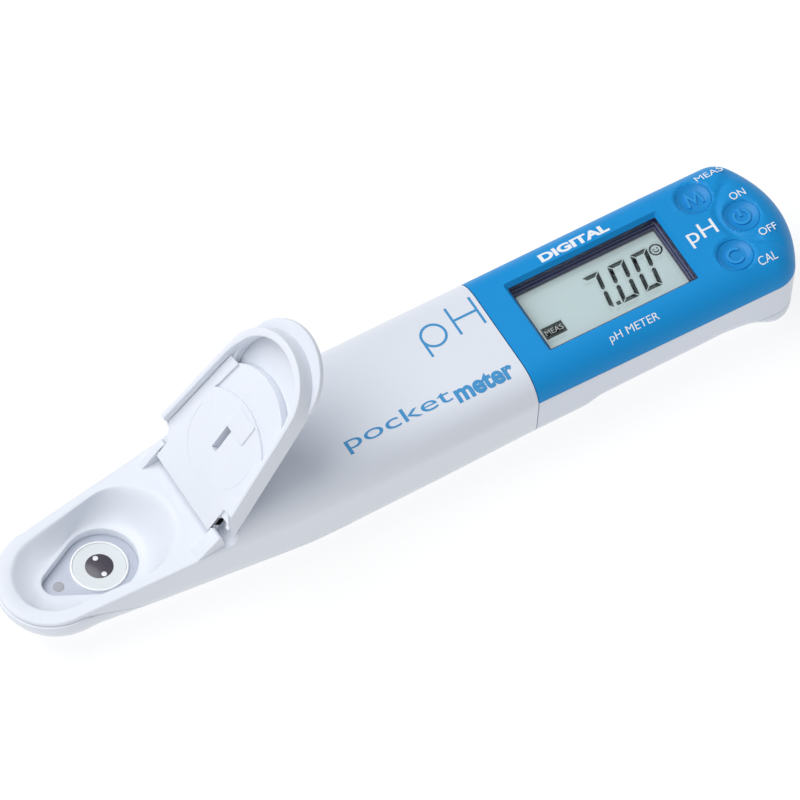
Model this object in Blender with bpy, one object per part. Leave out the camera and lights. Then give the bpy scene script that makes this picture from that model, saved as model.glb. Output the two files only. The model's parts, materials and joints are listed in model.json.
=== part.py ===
"""Pocket pH meter with a flat sensor, a hinged sensor cover and a sensor unit that pulls off.

The meter lies on its back along X: the sensor tip is at -X, the keys are at +X, +Z is up.
The origin is on the surface that it rests on, below the middle of its length.
Every size below is in millimetres, and MM turns it into metres where a mesh is made.
"""
import math

import bmesh
import bpy
from mathutils import Matrix, Vector

MM = 0.001

# Driving dimensions of the whole body
TIP_X = -81.4
REAR_X = 82.0
HALF_WIDTH = 14.5
TOP_Z = 19.9
SEAM_X = 22.4
SEAM_GAP = 0.1
WALL = 1.4
TOP_RADIUS = 6.0
FIT = 0.3
FACE_GAP = 0.1

# Bottom of the body, its edge radius, how far the sides lean in towards it, and the top, each along X
FLOOR = [(-82.0, 4.8), (-76.0, 4.2), (-62.0, 3.1), (-24.0, 0.0), (2.0, 0.5), (22.0, 1.25), (33.5, 1.25),
         (36.0, 2.4), (57.0, 2.7), (67.5, 3.1), (69.5, 2.6), (72.3, 0.4), (73.5, 0.0), (82.0, 0.0)]
FLOOR_RADIUS = [(-82.0, 3.9), (-60.0, 5.0), (-40.0, 5.8), (62.0, 5.8), (70.0, 3.6), (82.0, 3.6)]
DRAFT = [(-60.0, 0.0), (-30.0, 0.6)]
ROOF = [(-82.0, TOP_Z), (60.0, TOP_Z), (82.0, 19.5)]

# Plan of the body: a round tip, long sides that widen towards the hinge, and a rounded rear end
NOSE_RADIUS = 10.6
NOSE_X = -70.4
LEDGE = 0.4
SIDES = [(-66.0, 11.05), (-57.0, 11.85), (-48.0, 12.65), (-40.0, 13.4), (-30.0, 14.15), (-24.0, 14.43)]
STRAIGHT = [-18.0, 2.0, 20.0, 33.5, 36.0, 46.0, 57.0, 67.5, 69.5, 72.3]
REAR_CORNER_RADIUS = 6.0
REAR_CURVE = 0.026
REAR_CORNER_Y = 11.6

# Hinge of the sensor cover: pivot, closed slope, and how far it stands open
PIVOT_X = -43.1
PIVOT_Z = 17.1
CLOSED_SLOPE = 7.0
OPEN_ANGLE = 135.2
RIM_DROP = 2.45
RAMP_OFFSET = 3.25
BARREL_RADIUS = 1.4
BARREL_HALF = 9.3
PIN_RADIUS = 0.5
EAR_INNER = 9.6
EAR_OUTER = 11.0

# Sensor cover, in its own frame: a runs from the pivot to its round end, n is its outer side
COVER_START = -0.3
COVER_ROUND_A = 27.4
COVER_TOP = 2.9
COVER_EDGE = 2.0
COVER_WALL = 1.1
COVER_END_WALL = 1.6
COVER_SIDES = [(4.9, 13.05), (14.0, 12.1), (23.0, 11.2)]
DECK_LOW = -0.05
DECK_HIGH = 1.7
WINDOW_RADIUS = 8.65
WINDOW_BACK_A = 17.0
WINDOW_BACK_RADIUS = 11.4
PLATE_LOW = -0.6

# Sample well and electrode
WELL_TOP = ((-69.6, 8.4), (-56.0, 10.1))
WELL_FLOOR = ((-69.9, 3.4), (-61.0, 7.5))
WELL_FLOOR_Z = 7.8
DROP = ((-69.9, 2.75), (-60.9, 6.9))
PLATE_TOP = 5.95
ELECTRODE_X = -61.15
RING_RADIUS = 5.5
DISC_RADIUS = 4.9
MEMBRANE_RADIUS = 2.6
JUNCTION_X = -69.6
JUNCTION_RADIUS = 1.05

# Display and keys
WINDOW_X = (28.7, 59.9)
WINDOW_Y = (-7.85, 7.55)
WINDOW_Z = (18.0, 18.7)
BEZEL = 0.75
LCD_TOP = 16.4
LCD_LOW = 15.0
BOARD_Z = (12.2, 13.2)
KEYS = {"meas": (67.9, 7.35), "power": (73.6, -0.3), "cal": (68.2, -7.1)}
KEY_RADIUS = 3.1
KEY_HOLE = 3.35
KEY_TOP = 19.35

# Part lines
METER_PART = ((22.0, 14.7), (80.0, 13.9))
SENSOR_PART = [(-90.0, 9.2), (-81.0, 9.3), (-76.0, 9.9), (-70.0, 10.4), (-66.0, 9.4), (-55.0, 5.3), (-21.0, 4.5),
               (-16.4, 4.3)]
BATTERY_Z = 5.0
BATTERY_X = 36.3


def along(table, x):
    """Value of a table of (x, value) pairs at x, straight between its points."""
    if x <= table[0][0]:
        return table[0][1]
    for (x0, v0), (x1, v1) in zip(table, table[1:]):
        if x <= x1:
            return v0 + (v1 - v0) * (x - x0) / (x1 - x0)
    return table[-1][1]


def arc(cx, cy, radius, start, stop, steps):
    """Points on an arc, angles in degrees, both ends included."""
    angles = [math.radians(start + (stop - start) * k / steps) for k in range(steps + 1)]
    return [(cx + radius * math.cos(t), cy + radius * math.sin(t)) for t in angles]


def clear_scene():
    for obj in list(bpy.data.objects):
        bpy.data.objects.remove(obj, do_unlink=True)


def material(name, color, roughness, metallic=0.0, alpha=1.0):
    mat = bpy.data.materials.new(name)
    mat.use_nodes = True
    shader = mat.node_tree.nodes["Principled BSDF"]
    shader.inputs["Base Color"].default_value = (*color, 1.0)
    shader.inputs["Roughness"].default_value = roughness
    shader.inputs["Metallic"].default_value = metallic
    shader.inputs["Alpha"].default_value = alpha
    mat.diffuse_color = (*color, alpha)
    return mat


def add_object(name, bm, mat=None):
    """Turns a bmesh in millimetres into an object in metres."""
    bmesh.ops.triangulate(bm, faces=bm.faces[:])
    bmesh.ops.recalc_face_normals(bm, faces=bm.faces[:])
    bmesh.ops.scale(bm, vec=(MM, MM, MM), verts=bm.verts[:])
    mesh = bpy.data.meshes.new(name)
    bm.to_mesh(mesh)
    bm.free()
    obj = bpy.data.objects.new(name, mesh)
    bpy.context.scene.collection.objects.link(obj)
    if mat:
        mesh.materials.append(mat)
    return obj


def boolean(target, cutter, operation="DIFFERENCE"):
    """Applies one exact boolean to the target and removes the cutter."""
    mod = target.modifiers.new("cut", "BOOLEAN")
    mod.operation = operation
    mod.solver = "EXACT"
    mod.object = cutter
    mats = list(target.data.materials)
    graph = bpy.context.evaluated_depsgraph_get()
    mesh = bpy.data.meshes.new_from_object(target.evaluated_get(graph))
    target.modifiers.remove(mod)
    target.data = mesh
    mesh.materials.clear()
    for mat in mats:
        mesh.materials.append(mat)
    bpy.data.objects.remove(cutter, do_unlink=True)
    return target


def cut(target, *cutters):
    for cutter in cutters:
        boolean(target, cutter)
    return target


def join(target, *others):
    for other in others:
        boolean(target, other, "UNION")
    return target


def keep(target, region):
    return boolean(target, region, "INTERSECT")


def smooth(obj, angle=35.0):
    obj.data.shade_smooth()
    obj.data.set_sharp_from_angle(angle=math.radians(angle))
    return obj


def bridge(bm, lower, upper):
    """Side faces between two rings of the same number of vertices."""
    count = len(lower)
    for i in range(count):
        j = (i + 1) % count
        bm.faces.new((lower[i], lower[j], upper[j], upper[i]))


def loft(name, rings, mat=None):
    """Closed solid through rings of points, each ring a list of (x, y, z)."""
    bm = bmesh.new()
    rows = [[bm.verts.new(p) for p in ring] for ring in rings]
    for lower, upper in zip(rows, rows[1:]):
        bridge(bm, lower, upper)
    bm.faces.new(rows[0])
    bm.faces.new(rows[-1])
    return add_object(name, bm, mat)


def prism_z(name, outline, low, high, mat=None):
    """Outline in X and Y, drawn out along Z. low may be a function of x."""
    base = low if callable(low) else lambda x: low
    return loft(name, [[(x, y, base(x)) for x, y in outline], [(x, y, high) for x, y in outline]], mat)


def prism_y(name, outline, low, high, mat=None):
    """Outline in X and Z, drawn out along Y."""
    return loft(name, [[(x, low, z) for x, z in outline], [(x, high, z) for x, z in outline]], mat)


def prism_x(name, outline, low, high, mat=None):
    """Outline in Y and Z, drawn out along X."""
    return loft(name, [[(low, y, z) for y, z in outline], [(high, y, z) for y, z in outline]], mat)


def box(name, xs, ys, zs, mat=None):
    outline = [(xs[0], ys[0]), (xs[1], ys[0]), (xs[1], ys[1]), (xs[0], ys[1])]
    return prism_z(name, outline, zs[0], zs[1], mat)


def cylinder_z(name, x, y, radius, low, high, mat=None, segments=24):
    return prism_z(name, arc(x, y, radius, 0, 360 - 360 / segments, segments - 1), low, high, mat)


def cylinder_y(name, x, z, radius, low, high, mat=None, segments=16):
    return prism_y(name, arc(x, z, radius, 0, 360 - 360 / segments, segments - 1), low, high, mat)


def cylinder_x(name, y, z, radius, low, high, mat=None, segments=12):
    return prism_x(name, arc(y, z, radius, 0, 360 - 360 / segments, segments - 1), low, high, mat)


def rounded_rectangle(low, high, radius, steps=3):
    """Outline from corner low to corner high, with rounded corners."""
    (x0, y0), (x1, y1) = low, high
    corners = [(x1 - radius, y1 - radius, 0), (x0 + radius, y1 - radius, 90),
               (x0 + radius, y0 + radius, 180), (x1 - radius, y0 + radius, 270)]
    return [p for cx, cy, start in corners for p in arc(cx, cy, radius, start, start + 90, steps)]


def egg(front, back, steps=10):
    """Outline round two circles on the X axis: front is nearer -X. Each is (centre x, radius)."""
    (x0, r0), (x1, r1) = front, back
    lean = math.degrees(math.asin((r1 - r0) / (x1 - x0)))
    return arc(x0, 0, r0, 90 + lean, 270 - lean, steps) + arc(x1, 0, r1, -90 - lean, 90 + lean, steps)


def half_outline(ledge, start_x, stop_x):
    """Points of the plan's +Y side from start_x to stop_x; an open end lies on the X axis."""
    radius = NOSE_RADIUS + ledge
    points = arc(NOSE_X, 0, radius, 180, 97, 6) + SIDES + [(x, HALF_WIDTH) for x in STRAIGHT]
    lean = 2 * REAR_CURVE * REAR_CORNER_Y
    corner_x = REAR_X - REAR_CURVE * REAR_CORNER_Y ** 2 - REAR_CORNER_RADIUS / math.hypot(1.0, lean)
    corner = (corner_x, HALF_WIDTH - REAR_CORNER_RADIUS)
    points += arc(*corner, REAR_CORNER_RADIUS, 90, math.degrees(math.atan(lean)), 5)
    points += [(REAR_X - REAR_CURVE * y * y, y) for y in (8.7, 5.8, 2.9, 0.0)]
    inside = [p for p in points if start_x < p[0] < stop_x]
    if start_x > TIP_X:
        inside.insert(0, (start_x, along(points_by_x(points), start_x)))
    if stop_x < REAR_X:
        inside.append((stop_x, along(points_by_x(points), stop_x)))
    if start_x <= TIP_X and inside[0][1] > 0.01:
        inside.insert(0, points[0])
    if stop_x >= REAR_X and inside[-1][1] > 0.01:
        inside.append(points[-1])
    return inside


def points_by_x(points):
    return [(x, y) for x, y in points if y > 5.0]


def normals(points):
    """Outward normals of the +Y side, straight out at an end that is cut off square."""
    out = []
    for i, (x, y) in enumerate(points):
        if y < 0.01:
            out.append((-1.0, 0.0) if i == 0 else (1.0, 0.0))
            continue
        x0, y0 = points[max(i - 1, 0)]
        x1, y1 = points[min(i + 1, len(points) - 1)]
        length = math.hypot(x1 - x0, y1 - y0)
        square_end = i in (0, len(points) - 1)
        out.append((0.0, 1.0) if square_end else (-(y1 - y0) / length, (x1 - x0) / length))
    return out


def shell_body(name, start_x, stop_x, inset=0.0, mat=None, ledge=0.0, steps=4, floor_inset=None):
    """Solid with the body's outer shape between two X positions, shrunk by inset on every side."""
    points = half_outline(ledge, start_x, stop_x)
    outward = normals(points)
    floor_inset = floor_inset or (lambda x: inset)
    levels = [("floor", k / steps) for k in range(steps + 1)] + [("roof", 1 - k / steps) for k in range(steps + 1)]
    bm = bmesh.new()
    rows = []
    for side, share in levels:
        turn = share * math.pi / 2
        row = []
        for (x, y), (nx, ny) in zip(points, outward):
            if side == "floor":
                radius = max(along(FLOOR_RADIUS, x) - inset, 0.6)
                step_in = inset + along(DRAFT, x) + radius * (1 - math.sin(turn))
            else:
                radius = TOP_RADIUS - inset
                step_in = inset + radius * (1 - math.sin(turn))
            px = x - nx * step_in
            py = max(y - ny * step_in, 0.0) if y > 0.01 else 0.0
            if side == "floor":
                pz = along(FLOOR, px) + floor_inset(px) + radius * (1 - math.cos(turn))
            else:
                pz = along(ROOF, px) - inset - radius * (1 - math.cos(turn))
            row.append((px, py, pz))
        rows.append(row)
    verts = {}

    def vertex(row, i, sign):
        x, y, z = rows[row][i]
        key = (row, i, sign if y > 0.01 else 0)
        if key not in verts:
            verts[key] = bm.verts.new((x, y * sign, z))
        return verts[key]

    def face(corners):
        unique = list(dict.fromkeys(corners))
        if len(unique) > 2:
            bm.faces.new(unique)

    last = len(points) - 1
    for row in range(len(rows) - 1):
        for i in range(last):
            for sign in (1, -1):
                face([vertex(row, i, sign), vertex(row, i + 1, sign),
                      vertex(row + 1, i + 1, sign), vertex(row + 1, i, sign)])
    for row in (0, len(rows) - 1):
        for i in range(last):
            face([vertex(row, i, 1), vertex(row, i + 1, 1), vertex(row, i + 1, -1), vertex(row, i, -1)])
    for i in (0, last):
        if points[i][1] > 0.01:
            loop = [vertex(row, i, 1) for row in range(len(rows))]
            loop += [vertex(row, i, -1) for row in reversed(range(len(rows)))]
            face(loop)
    return add_object(name, bm, mat)


def rim_z(x):
    """Height of the nose's rim, which is also the plane the closed cover lies on."""
    slope = math.radians(CLOSED_SLOPE)
    x0 = PIVOT_X + RIM_DROP * math.sin(slope)
    z0 = PIVOT_Z - RIM_DROP * math.cos(slope)
    return z0 + (x - x0) * math.tan(slope)


def from_open_cover(a, n):
    """World X and Z of a point of the open cover, a from the pivot and n on its outer side."""
    turn = math.radians(OPEN_ANGLE - CLOSED_SLOPE)
    return (PIVOT_X - a * math.cos(turn) + n * math.sin(turn), PIVOT_Z + a * math.sin(turn) + n * math.cos(turn))


# ---------------------------------------------------------------- sensor unit

def well_cutter():
    """Bowl of the sample well: its wall rises ever more steeply from the floor to the rim."""
    rings = []
    for share in (0.0, 0.25, 0.5, 0.75, 1.0):
        outline = []
        for (xf, yf), (xt, yt) in zip(egg(*WELL_FLOOR), egg(*WELL_TOP)):
            x = xf + (xt - xf) * share
            y = yf + (yt - yf) * share
            z = WELL_FLOOR_Z + (rim_z(x) + 0.1 - WELL_FLOOR_Z) * share ** 1.8
            outline.append((x, y, z))
        rings.append(outline)
    rings.append([(x, y, rim_z(x) + 4.0) for x, y, z in rings[-1]])
    return loft("well", rings)


def nose_cutter():
    """Everything above the rim of the nose and in front of the ramp behind the hinge."""
    ramp_low = from_open_cover(-0.5, RAMP_OFFSET)
    ramp_high = from_open_cover(6.3, RAMP_OFFSET)
    outline = [(-95.0, rim_z(-95.0)), (-42.2, rim_z(-42.2)), ramp_low, ramp_high,
               (ramp_high[0] + 0.6, TOP_Z + 3.0), (-95.0, TOP_Z + 3.0)]
    return prism_y("above_nose", outline, -20.0, 20.0)


def sensor_case(mat):
    case = shell_body("sensor_case", TIP_X, SEAM_X - SEAM_GAP, mat=mat)
    cavity = shell_body("cavity", -34.5, SEAM_X + 6.0, inset=WALL, steps=3)
    below = SENSOR_PART + [(SENSOR_PART[-1][0], -5.0), (-90.0, -5.0)]
    cut(case, nose_cutter(), prism_y("below_part", below, -20.0, 20.0))
    block = shell_body("well_block", TIP_X, -48.5, inset=WALL + FIT, steps=3, floor_inset=lambda x: 0.75)
    cut(block, nose_cutter())
    join(case, block)
    cut(case, cavity, box("under_hinge", (-44.0, -33.0), (-11.0, 11.0), (-5.0, 12.4)), well_cutter())
    cut(case, prism_z("drop", egg(*DROP), 3.0, 9.5))
    for side in (-1, 1):
        lug = [(PIVOT_X - BARREL_RADIUS, rim_z(PIVOT_X) - 1.2)]
        lug += arc(PIVOT_X, PIVOT_Z, BARREL_RADIUS, 180, 0, 6)
        lug += [(PIVOT_X + BARREL_RADIUS, rim_z(PIVOT_X) - 1.2)]
        ear = prism_y("ear", lug, *sorted((side * EAR_INNER, side * EAR_OUTER)))
        join(case, ear)
    cut(case, cylinder_y("pin_hole", PIVOT_X, PIVOT_Z, PIN_RADIUS + FIT, -12.0, 12.0))
    return smooth(case)


def sensor_bottom_cover(mat):
    cover = shell_body("sensor_bottom_cover", TIP_X, -16.0, mat=mat, ledge=LEDGE)
    region = [(x, z - FACE_GAP) for x, z in SENSOR_PART[:-1]]
    end_x, end_z = SENSOR_PART[-1]
    region += [(end_x - 0.15, end_z - FACE_GAP), (end_x - 0.15, -5.0), (-90.0, -5.0)]
    keep(cover, prism_y("below_part", region, -20.0, 20.0))
    thin = [(-47.5, 0.6), (-46.0, WALL)]
    hollow = shell_body("hollow", TIP_X, end_x + 3.0, inset=WALL, steps=3, floor_inset=lambda x: along(thin, x))
    return smooth(cut(cover, hollow))


def electrode(mats):
    """The tear-drop insert in the well's floor, and what it carries."""
    small = [(x, r - FIT) for x, r in DROP]
    plate = prism_z("sensor_plate", egg(*small), lambda x: along(FLOOR, x) + 0.75, PLATE_TOP, mats["plate"])
    cut(plate, cylinder_z("hole", JUNCTION_X, 0.0, JUNCTION_RADIUS + 0.2, 3.0, 8.0, segments=16))
    low = PLATE_TOP + FACE_GAP
    ring = cylinder_z("sensor_ring", ELECTRODE_X, 0.0, RING_RADIUS, low, low + 0.35, mats["ring"], 32)
    cut(ring, cylinder_z("hole", ELECTRODE_X, 0.0, DISC_RADIUS + 0.1, 3.0, 8.0, segments=32))
    disc = cylinder_z("electrode_disc", ELECTRODE_X, 0.0, DISC_RADIUS, low, low + 0.2, mats["disc"], 32)
    cut(disc, cylinder_z("hole", ELECTRODE_X, 0.0, MEMBRANE_RADIUS + 0.1, 3.0, 8.0, segments=24))
    cylinder_z("glass_membrane", ELECTRODE_X, 0.0, MEMBRANE_RADIUS, low, low + 0.2, mats["membrane"], 24)
    cylinder_z("liquid_junction", JUNCTION_X, 0.0, JUNCTION_RADIUS, PLATE_TOP - 0.5, PLATE_TOP + 0.05,
               mats["junction"], 16)


def sensor_inside(mats):
    """Reference electrode, its gel, and the contacts that face the meter's pins."""
    cell = box("reference_cell", (-33.0, 1.0), (-10.8, 10.8), (3.9, 16.2), mats["clear"])
    cut(cell, box("inside", (-31.8, 5.0), (-9.6, 9.6), (5.0, 15.1)))
    box("electrolyte_gel", (-31.5, -1.0), (-9.3, 9.3), (5.3, 13.9), mats["gel"])
    box("reference_cell_cap", (1.2, 2.4), (-10.8, 10.8), (3.9, 16.2), mats["clear"])
    box("sensor_contact_board", (4.0, 5.0), (-8.5, 8.5), (4.2, 15.4), mats["board"])
    flex = [(-43.5, 4.4), (-34.0, 3.3), (3.7, 3.3), (3.7, 3.6), (-34.0, 3.6), (-43.5, 4.7)]
    prism_y("sensor_flex", flex, -3.0, 3.0, mats["flex"])
    cylinder_y("hinge_pin", PIVOT_X, PIVOT_Z, PIN_RADIUS, -EAR_OUTER, EAR_OUTER, mats["steel"])


def release_tab(mat):
    """Spring tab under the seam: its hook holds the sensor unit on the meter."""
    tab = box("sensor_release_tab", (23.6, 33.2), (-6.8, 6.8), (1.3, 2.4), mat)
    hook = [(27.9, 2.0), (28.4, 3.3), (29.6, 3.3), (30.0, 2.0)]
    return join(tab, prism_y("hook", hook, -1.9, 1.9))


# ---------------------------------------------------------------- sensor cover

def cover_outline(inset, start_a):
    """Plan of the cover in its own frame, where a is -x; it is the nose's outline again."""
    radius = NOSE_RADIUS - inset
    sides = [(start_a, along([(0.0, 13.4)] + COVER_SIDES, start_a) - inset)]
    sides += [(a, w - inset) for a, w in COVER_SIDES]
    round_end = [(-x, y) for x, y in arc(-COVER_ROUND_A, 0, radius, 100, 260, 12)]
    upper = [(a, w) for a, w in sides] + round_end + [(a, -w) for a, w in reversed(sides)]
    return [(-a, y) for a, y in upper]


def strip_outline(start_a, half, round_a, radius, steps=10):
    """A strip with straight sides and one round end, in the cover's frame."""
    lean = math.degrees(math.acos(min(half / radius, 1.0)))
    end = arc(-round_a, 0, radius, 90 + lean, 270 - lean, steps)
    return [(-start_a, half)] + end + [(-start_a, -half)]


def crescent():
    """The cover's window: inside one circle and outside another, in the cover's frame."""
    distance = COVER_ROUND_A - WINDOW_BACK_A
    along_a = (distance ** 2 + WINDOW_BACK_RADIUS ** 2 - WINDOW_RADIUS ** 2) / (2 * distance)
    across = math.sqrt(WINDOW_BACK_RADIUS ** 2 - along_a ** 2)
    outer = math.degrees(math.atan2(across, along_a - distance))
    inner = math.degrees(math.atan2(across, along_a))
    front = arc(COVER_ROUND_A, 0, WINDOW_RADIUS, outer, -outer, 14)
    back = arc(WINDOW_BACK_A, 0, WINDOW_BACK_RADIUS, -inner, inner, 10)
    return [(-a, y) for a, y in front + back[1:-1]]


def cover_frame(mat):
    low = -RIM_DROP + FACE_GAP
    levels = [(0.0, low, 4.3), (0.0, COVER_TOP - COVER_EDGE, COVER_START)]
    levels += [(COVER_EDGE * (1 - math.cos(t)), COVER_TOP - COVER_EDGE * (1 - math.sin(t)),
                COVER_START + 0.6 * (1 - math.cos(t)))
               for t in (math.radians(30), math.radians(60), math.radians(90))]
    rings = [[(x, y, n) for x, y in cover_outline(inset, start_a)] for inset, n, start_a in levels]
    frame = loft("cover_frame", rings, mat)
    for side in (-1, 1):
        ys = sorted((side * (BARREL_HALF + 0.05), side * (EAR_OUTER + 0.45)))
        cut(frame, box("ear_room", (-3.6, 2.3), ys, (-4.2, 4.2)))
        slant = [(3.0, -4.2), (-9.1, -4.2), (-2.0, 0.9), (-2.0, 4.2), (3.0, 4.2)]
        cut(frame, prism_y("side_start", slant, *sorted((side * (BARREL_HALF + 0.05), side * 16.0))))
    join(frame, prism_z("lip", strip_outline(28.0, 10.0, 30.3, 10.3), 0.9, 2.0))
    inner = [(x, y) for x, y in cover_outline(COVER_WALL, -3.0) if x > -COVER_ROUND_A]
    half = len(inner) // 2
    end = arc(-COVER_ROUND_A, 0, NOSE_RADIUS - COVER_END_WALL, 100, 260, 12)
    hollow = prism_z("hollow", inner[:half] + end + inner[half:], low - 2.0, DECK_LOW)
    track = prism_z("track", strip_outline(-4.0, 9.8, COVER_ROUND_A, 9.8), DECK_HIGH, COVER_TOP + 2.0)
    window = prism_z("window", crescent(), DECK_LOW - 0.5, DECK_HIGH + 0.5)
    slot = box("slot", (-19.9, -10.1), (-3.0, 0.7), (DECK_LOW - 0.5, DECK_HIGH + 0.5))
    cut(frame, hollow, track, window, slot)
    barrel = cylinder_y("barrel", 0.0, 0.0, BARREL_RADIUS, -BARREL_HALF, BARREL_HALF)
    join(frame, barrel)
    cut(frame, cylinder_y("bore", 0.0, 0.0, PIN_RADIUS + FIT, -12.0, 12.0))
    return smooth(frame)


def guide_plate(mat):
    """Thin plate inside the cover, as wide as its walls allow, with one arm beside the window."""
    front = [(-a, y) for a, y in arc(8.7, 0, 13.0, 50.0, -50.0, 10)]
    inset = COVER_WALL + FIT
    far, near = [along(COVER_SIDES, a) - inset for a in (17.2, 5.6)]
    arm = [(-25.6, 8.1), (-25.6, along(COVER_SIDES, 23.0) - inset - 0.2), (-17.2, far)]
    hinge_side = [(-5.6, near), (-5.0, 9.3), (-1.9, 9.3), (-1.9, -9.3), (-5.0, -9.3), (-5.6, -near), (-17.2, -far)]
    front_edge = list(reversed(front))[:-2]
    plate = prism_z("cover_guide_plate", arm + hinge_side + front_edge + [(-18.9, 8.1)], PLATE_LOW,
                    DECK_LOW - FACE_GAP, mat)
    cut(plate, box("hook_slot", (-20.2, -9.8), (-3.4, 1.1), (-2.0, 2.0)))
    return plate


def slide_cap(mat):
    outline = strip_outline(10.5, 9.5, COVER_ROUND_A, 9.5)
    small = strip_outline(10.9, 9.0, COVER_ROUND_A, 9.0)
    low = DECK_HIGH + 0.15
    rings = [[(x, y, low) for x, y in outline], [(x, y, COVER_TOP - 0.5) for x, y in outline],
             [(x, y, COVER_TOP) for x, y in small]]
    cap = loft("slide_cap", rings, mat)
    hook = box("hook", (-19.6, -17.6), (-2.7, 0.4), (-0.3, low + 0.5))
    rib = box("rib", (-30.0, -29.0), (-4.0, 4.0), (COVER_TOP - 0.4, COVER_TOP + 0.05))
    return join(cap, hook, rib)


def open_cover(pieces):
    """Hangs the cover's pieces on an empty at the pivot and swings them open."""
    hinge = bpy.data.objects.new("cover_hinge", None)
    bpy.context.scene.collection.objects.link(hinge)
    hinge.location = (PIVOT_X * MM, 0.0, PIVOT_Z * MM)
    hinge.rotation_euler = (0.0, math.radians(OPEN_ANGLE - CLOSED_SLOPE), 0.0)
    for piece in pieces:
        piece.parent = hinge


# ---------------------------------------------------------------- meter

def part_region(gap, above):
    """Region above or below the meter's part line, kept gap away from it."""
    (x0, z0), (x1, z1) = METER_PART
    slope = (z1 - z0) / (x1 - x0)
    line = [(x, z0 + (x - x0) * slope + gap) for x in (10.0, 95.0)]
    far = 40.0 if above else -10.0
    return prism_y("region", line + [(95.0, far), (10.0, far)], -20.0, 20.0)


def upper_case(mat):
    case = shell_body("upper_case", SEAM_X + SEAM_GAP, REAR_X, mat=mat)
    keep(case, part_region(FACE_GAP / 2, True))
    cut(case, shell_body("cavity", SEAM_X - 5.0, REAR_X, inset=WALL, steps=3))
    for x, y in KEYS.values():
        cut(case, cylinder_z("key_hole", x, y, KEY_HOLE, 16.0, 22.0))
    bezel_low = [(x, y) for x, y in rounded_rectangle((WINDOW_X[0], WINDOW_Y[0]), (WINDOW_X[1], WINDOW_Y[1]), 0.6, 1)]
    bezel_high = rounded_rectangle((WINDOW_X[0] - BEZEL, WINDOW_Y[0] - BEZEL),
                                   (WINDOW_X[1] + BEZEL, WINDOW_Y[1] + BEZEL), 1.2, 1)
    rings = [[(x, y, 16.0) for x, y in bezel_low], [(x, y, 18.95) for x, y in bezel_low],
             [(x, y, TOP_Z + 0.05) for x, y in bezel_high], [(x, y, 22.0) for x, y in bezel_high]]
    cut(case, loft("opening", rings))
    return smooth(case)


def lower_case(mat):
    case = shell_body("lower_case", SEAM_X + SEAM_GAP, REAR_X, mat=mat)
    keep(case, part_region(-FACE_GAP / 2, False))
    step = [(BATTERY_X - FIT, -5.0), (95.0, -5.0), (95.0, BATTERY_Z + 0.15), (BATTERY_X - FIT, BATTERY_Z + 0.15)]
    cut(case, prism_y("battery_room", step, -20.0, 20.0))
    cavity = shell_body("cavity", SEAM_X - 5.0, REAR_X, inset=WALL, steps=3)
    above_floor = box("above_floor", (10.0, 37.5), (-20.0, 20.0), (4.7, 30.0))
    join(above_floor, box("through", (37.0, 90.0), (-19.0, 19.0), (-10.0, 29.0)))
    keep(cavity, above_floor)
    cut(case, cavity)
    cut(case, box("tab_room", (20.0, 33.5), (-7.1, 7.1), (-5.0, 2.7)))
    cut(case, box("hook_room", (20.0, 30.4), (-2.3, 2.3), (-5.0, 3.7)))
    return smooth(case)


def battery_cover(mat):
    cover = shell_body("battery_cover", BATTERY_X, REAR_X, mat=mat)
    keep(cover, box("below", (0.0, 95.0), (-20.0, 20.0), (-5.0, BATTERY_Z)))
    inner = box("pocket", (72.6, 77.2), (-8.0, 8.0), (1.6, 8.0))
    return smooth(cut(cover, inner))


def display(mats):
    x0, x1 = WINDOW_X
    y0, y1 = WINDOW_Y
    outline = rounded_rectangle((x0 + 0.15, y0 + 0.15), (x1 - 0.15, y1 - 0.15), 0.6, 1)
    prism_z("display_window", outline, *WINDOW_Z, mats["window"])
    frame = box("lcd_frame", (x0 - 1.0, x1 + 1.0), (y0 - 1.0, y1 + 1.0), (LCD_TOP + 0.1, WINDOW_Z[0] - 0.1),
                mats["dark"])
    cut(frame, box("opening", (x0 + 0.1, x1 - 0.1), (y0 + 0.1, y1 - 0.1), (10.0, 22.0)))
    box("lcd_panel", (x0 - 0.9, x1 + 0.9), (y0 - 1.0, y1 + 1.0), (LCD_LOW, LCD_TOP), mats["lcd"])
    for name, y in (("lcd_connector_front", y0 - 0.9), ("lcd_connector_back", y1 - 0.9)):
        box(name, (x0 + 2.0, x1 - 2.0), (y, y + 1.8), (BOARD_Z[1] + 0.1, LCD_LOW - 0.1), mats["rubber"])


def keys(mats):
    """Each key is a shallow dome on a flange, with a stem over its switch."""
    for name, (x, y) in KEYS.items():
        profile = [(1.4, 16.5), (1.4, 16.8), (3.6, 16.8), (3.6, 17.4), (KEY_RADIUS, 17.4), (KEY_RADIUS, 19.0),
                   (KEY_RADIUS * 0.6, KEY_TOP - 0.05)]
        rings = [[(px, py, z) for px, py in arc(x, y, r, 0, 345, 23)] for r, z in profile]
        loft("key_" + name, rings, mats["blue"])
        box("tact_switch_" + name, (x - 1.7, x + 1.7), (y - 1.7, y + 1.7), (BOARD_Z[1] + 0.1, 15.2), mats["dark"])
    membrane = [(64.0, 11.3), (64.0, -11.3), (72.0, -11.3), (76.6, -6.5), (76.6, 6.5), (72.0, 11.3)]
    prism_z("keypad_membrane", membrane, 15.35, 15.75, mats["rubber"])


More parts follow.
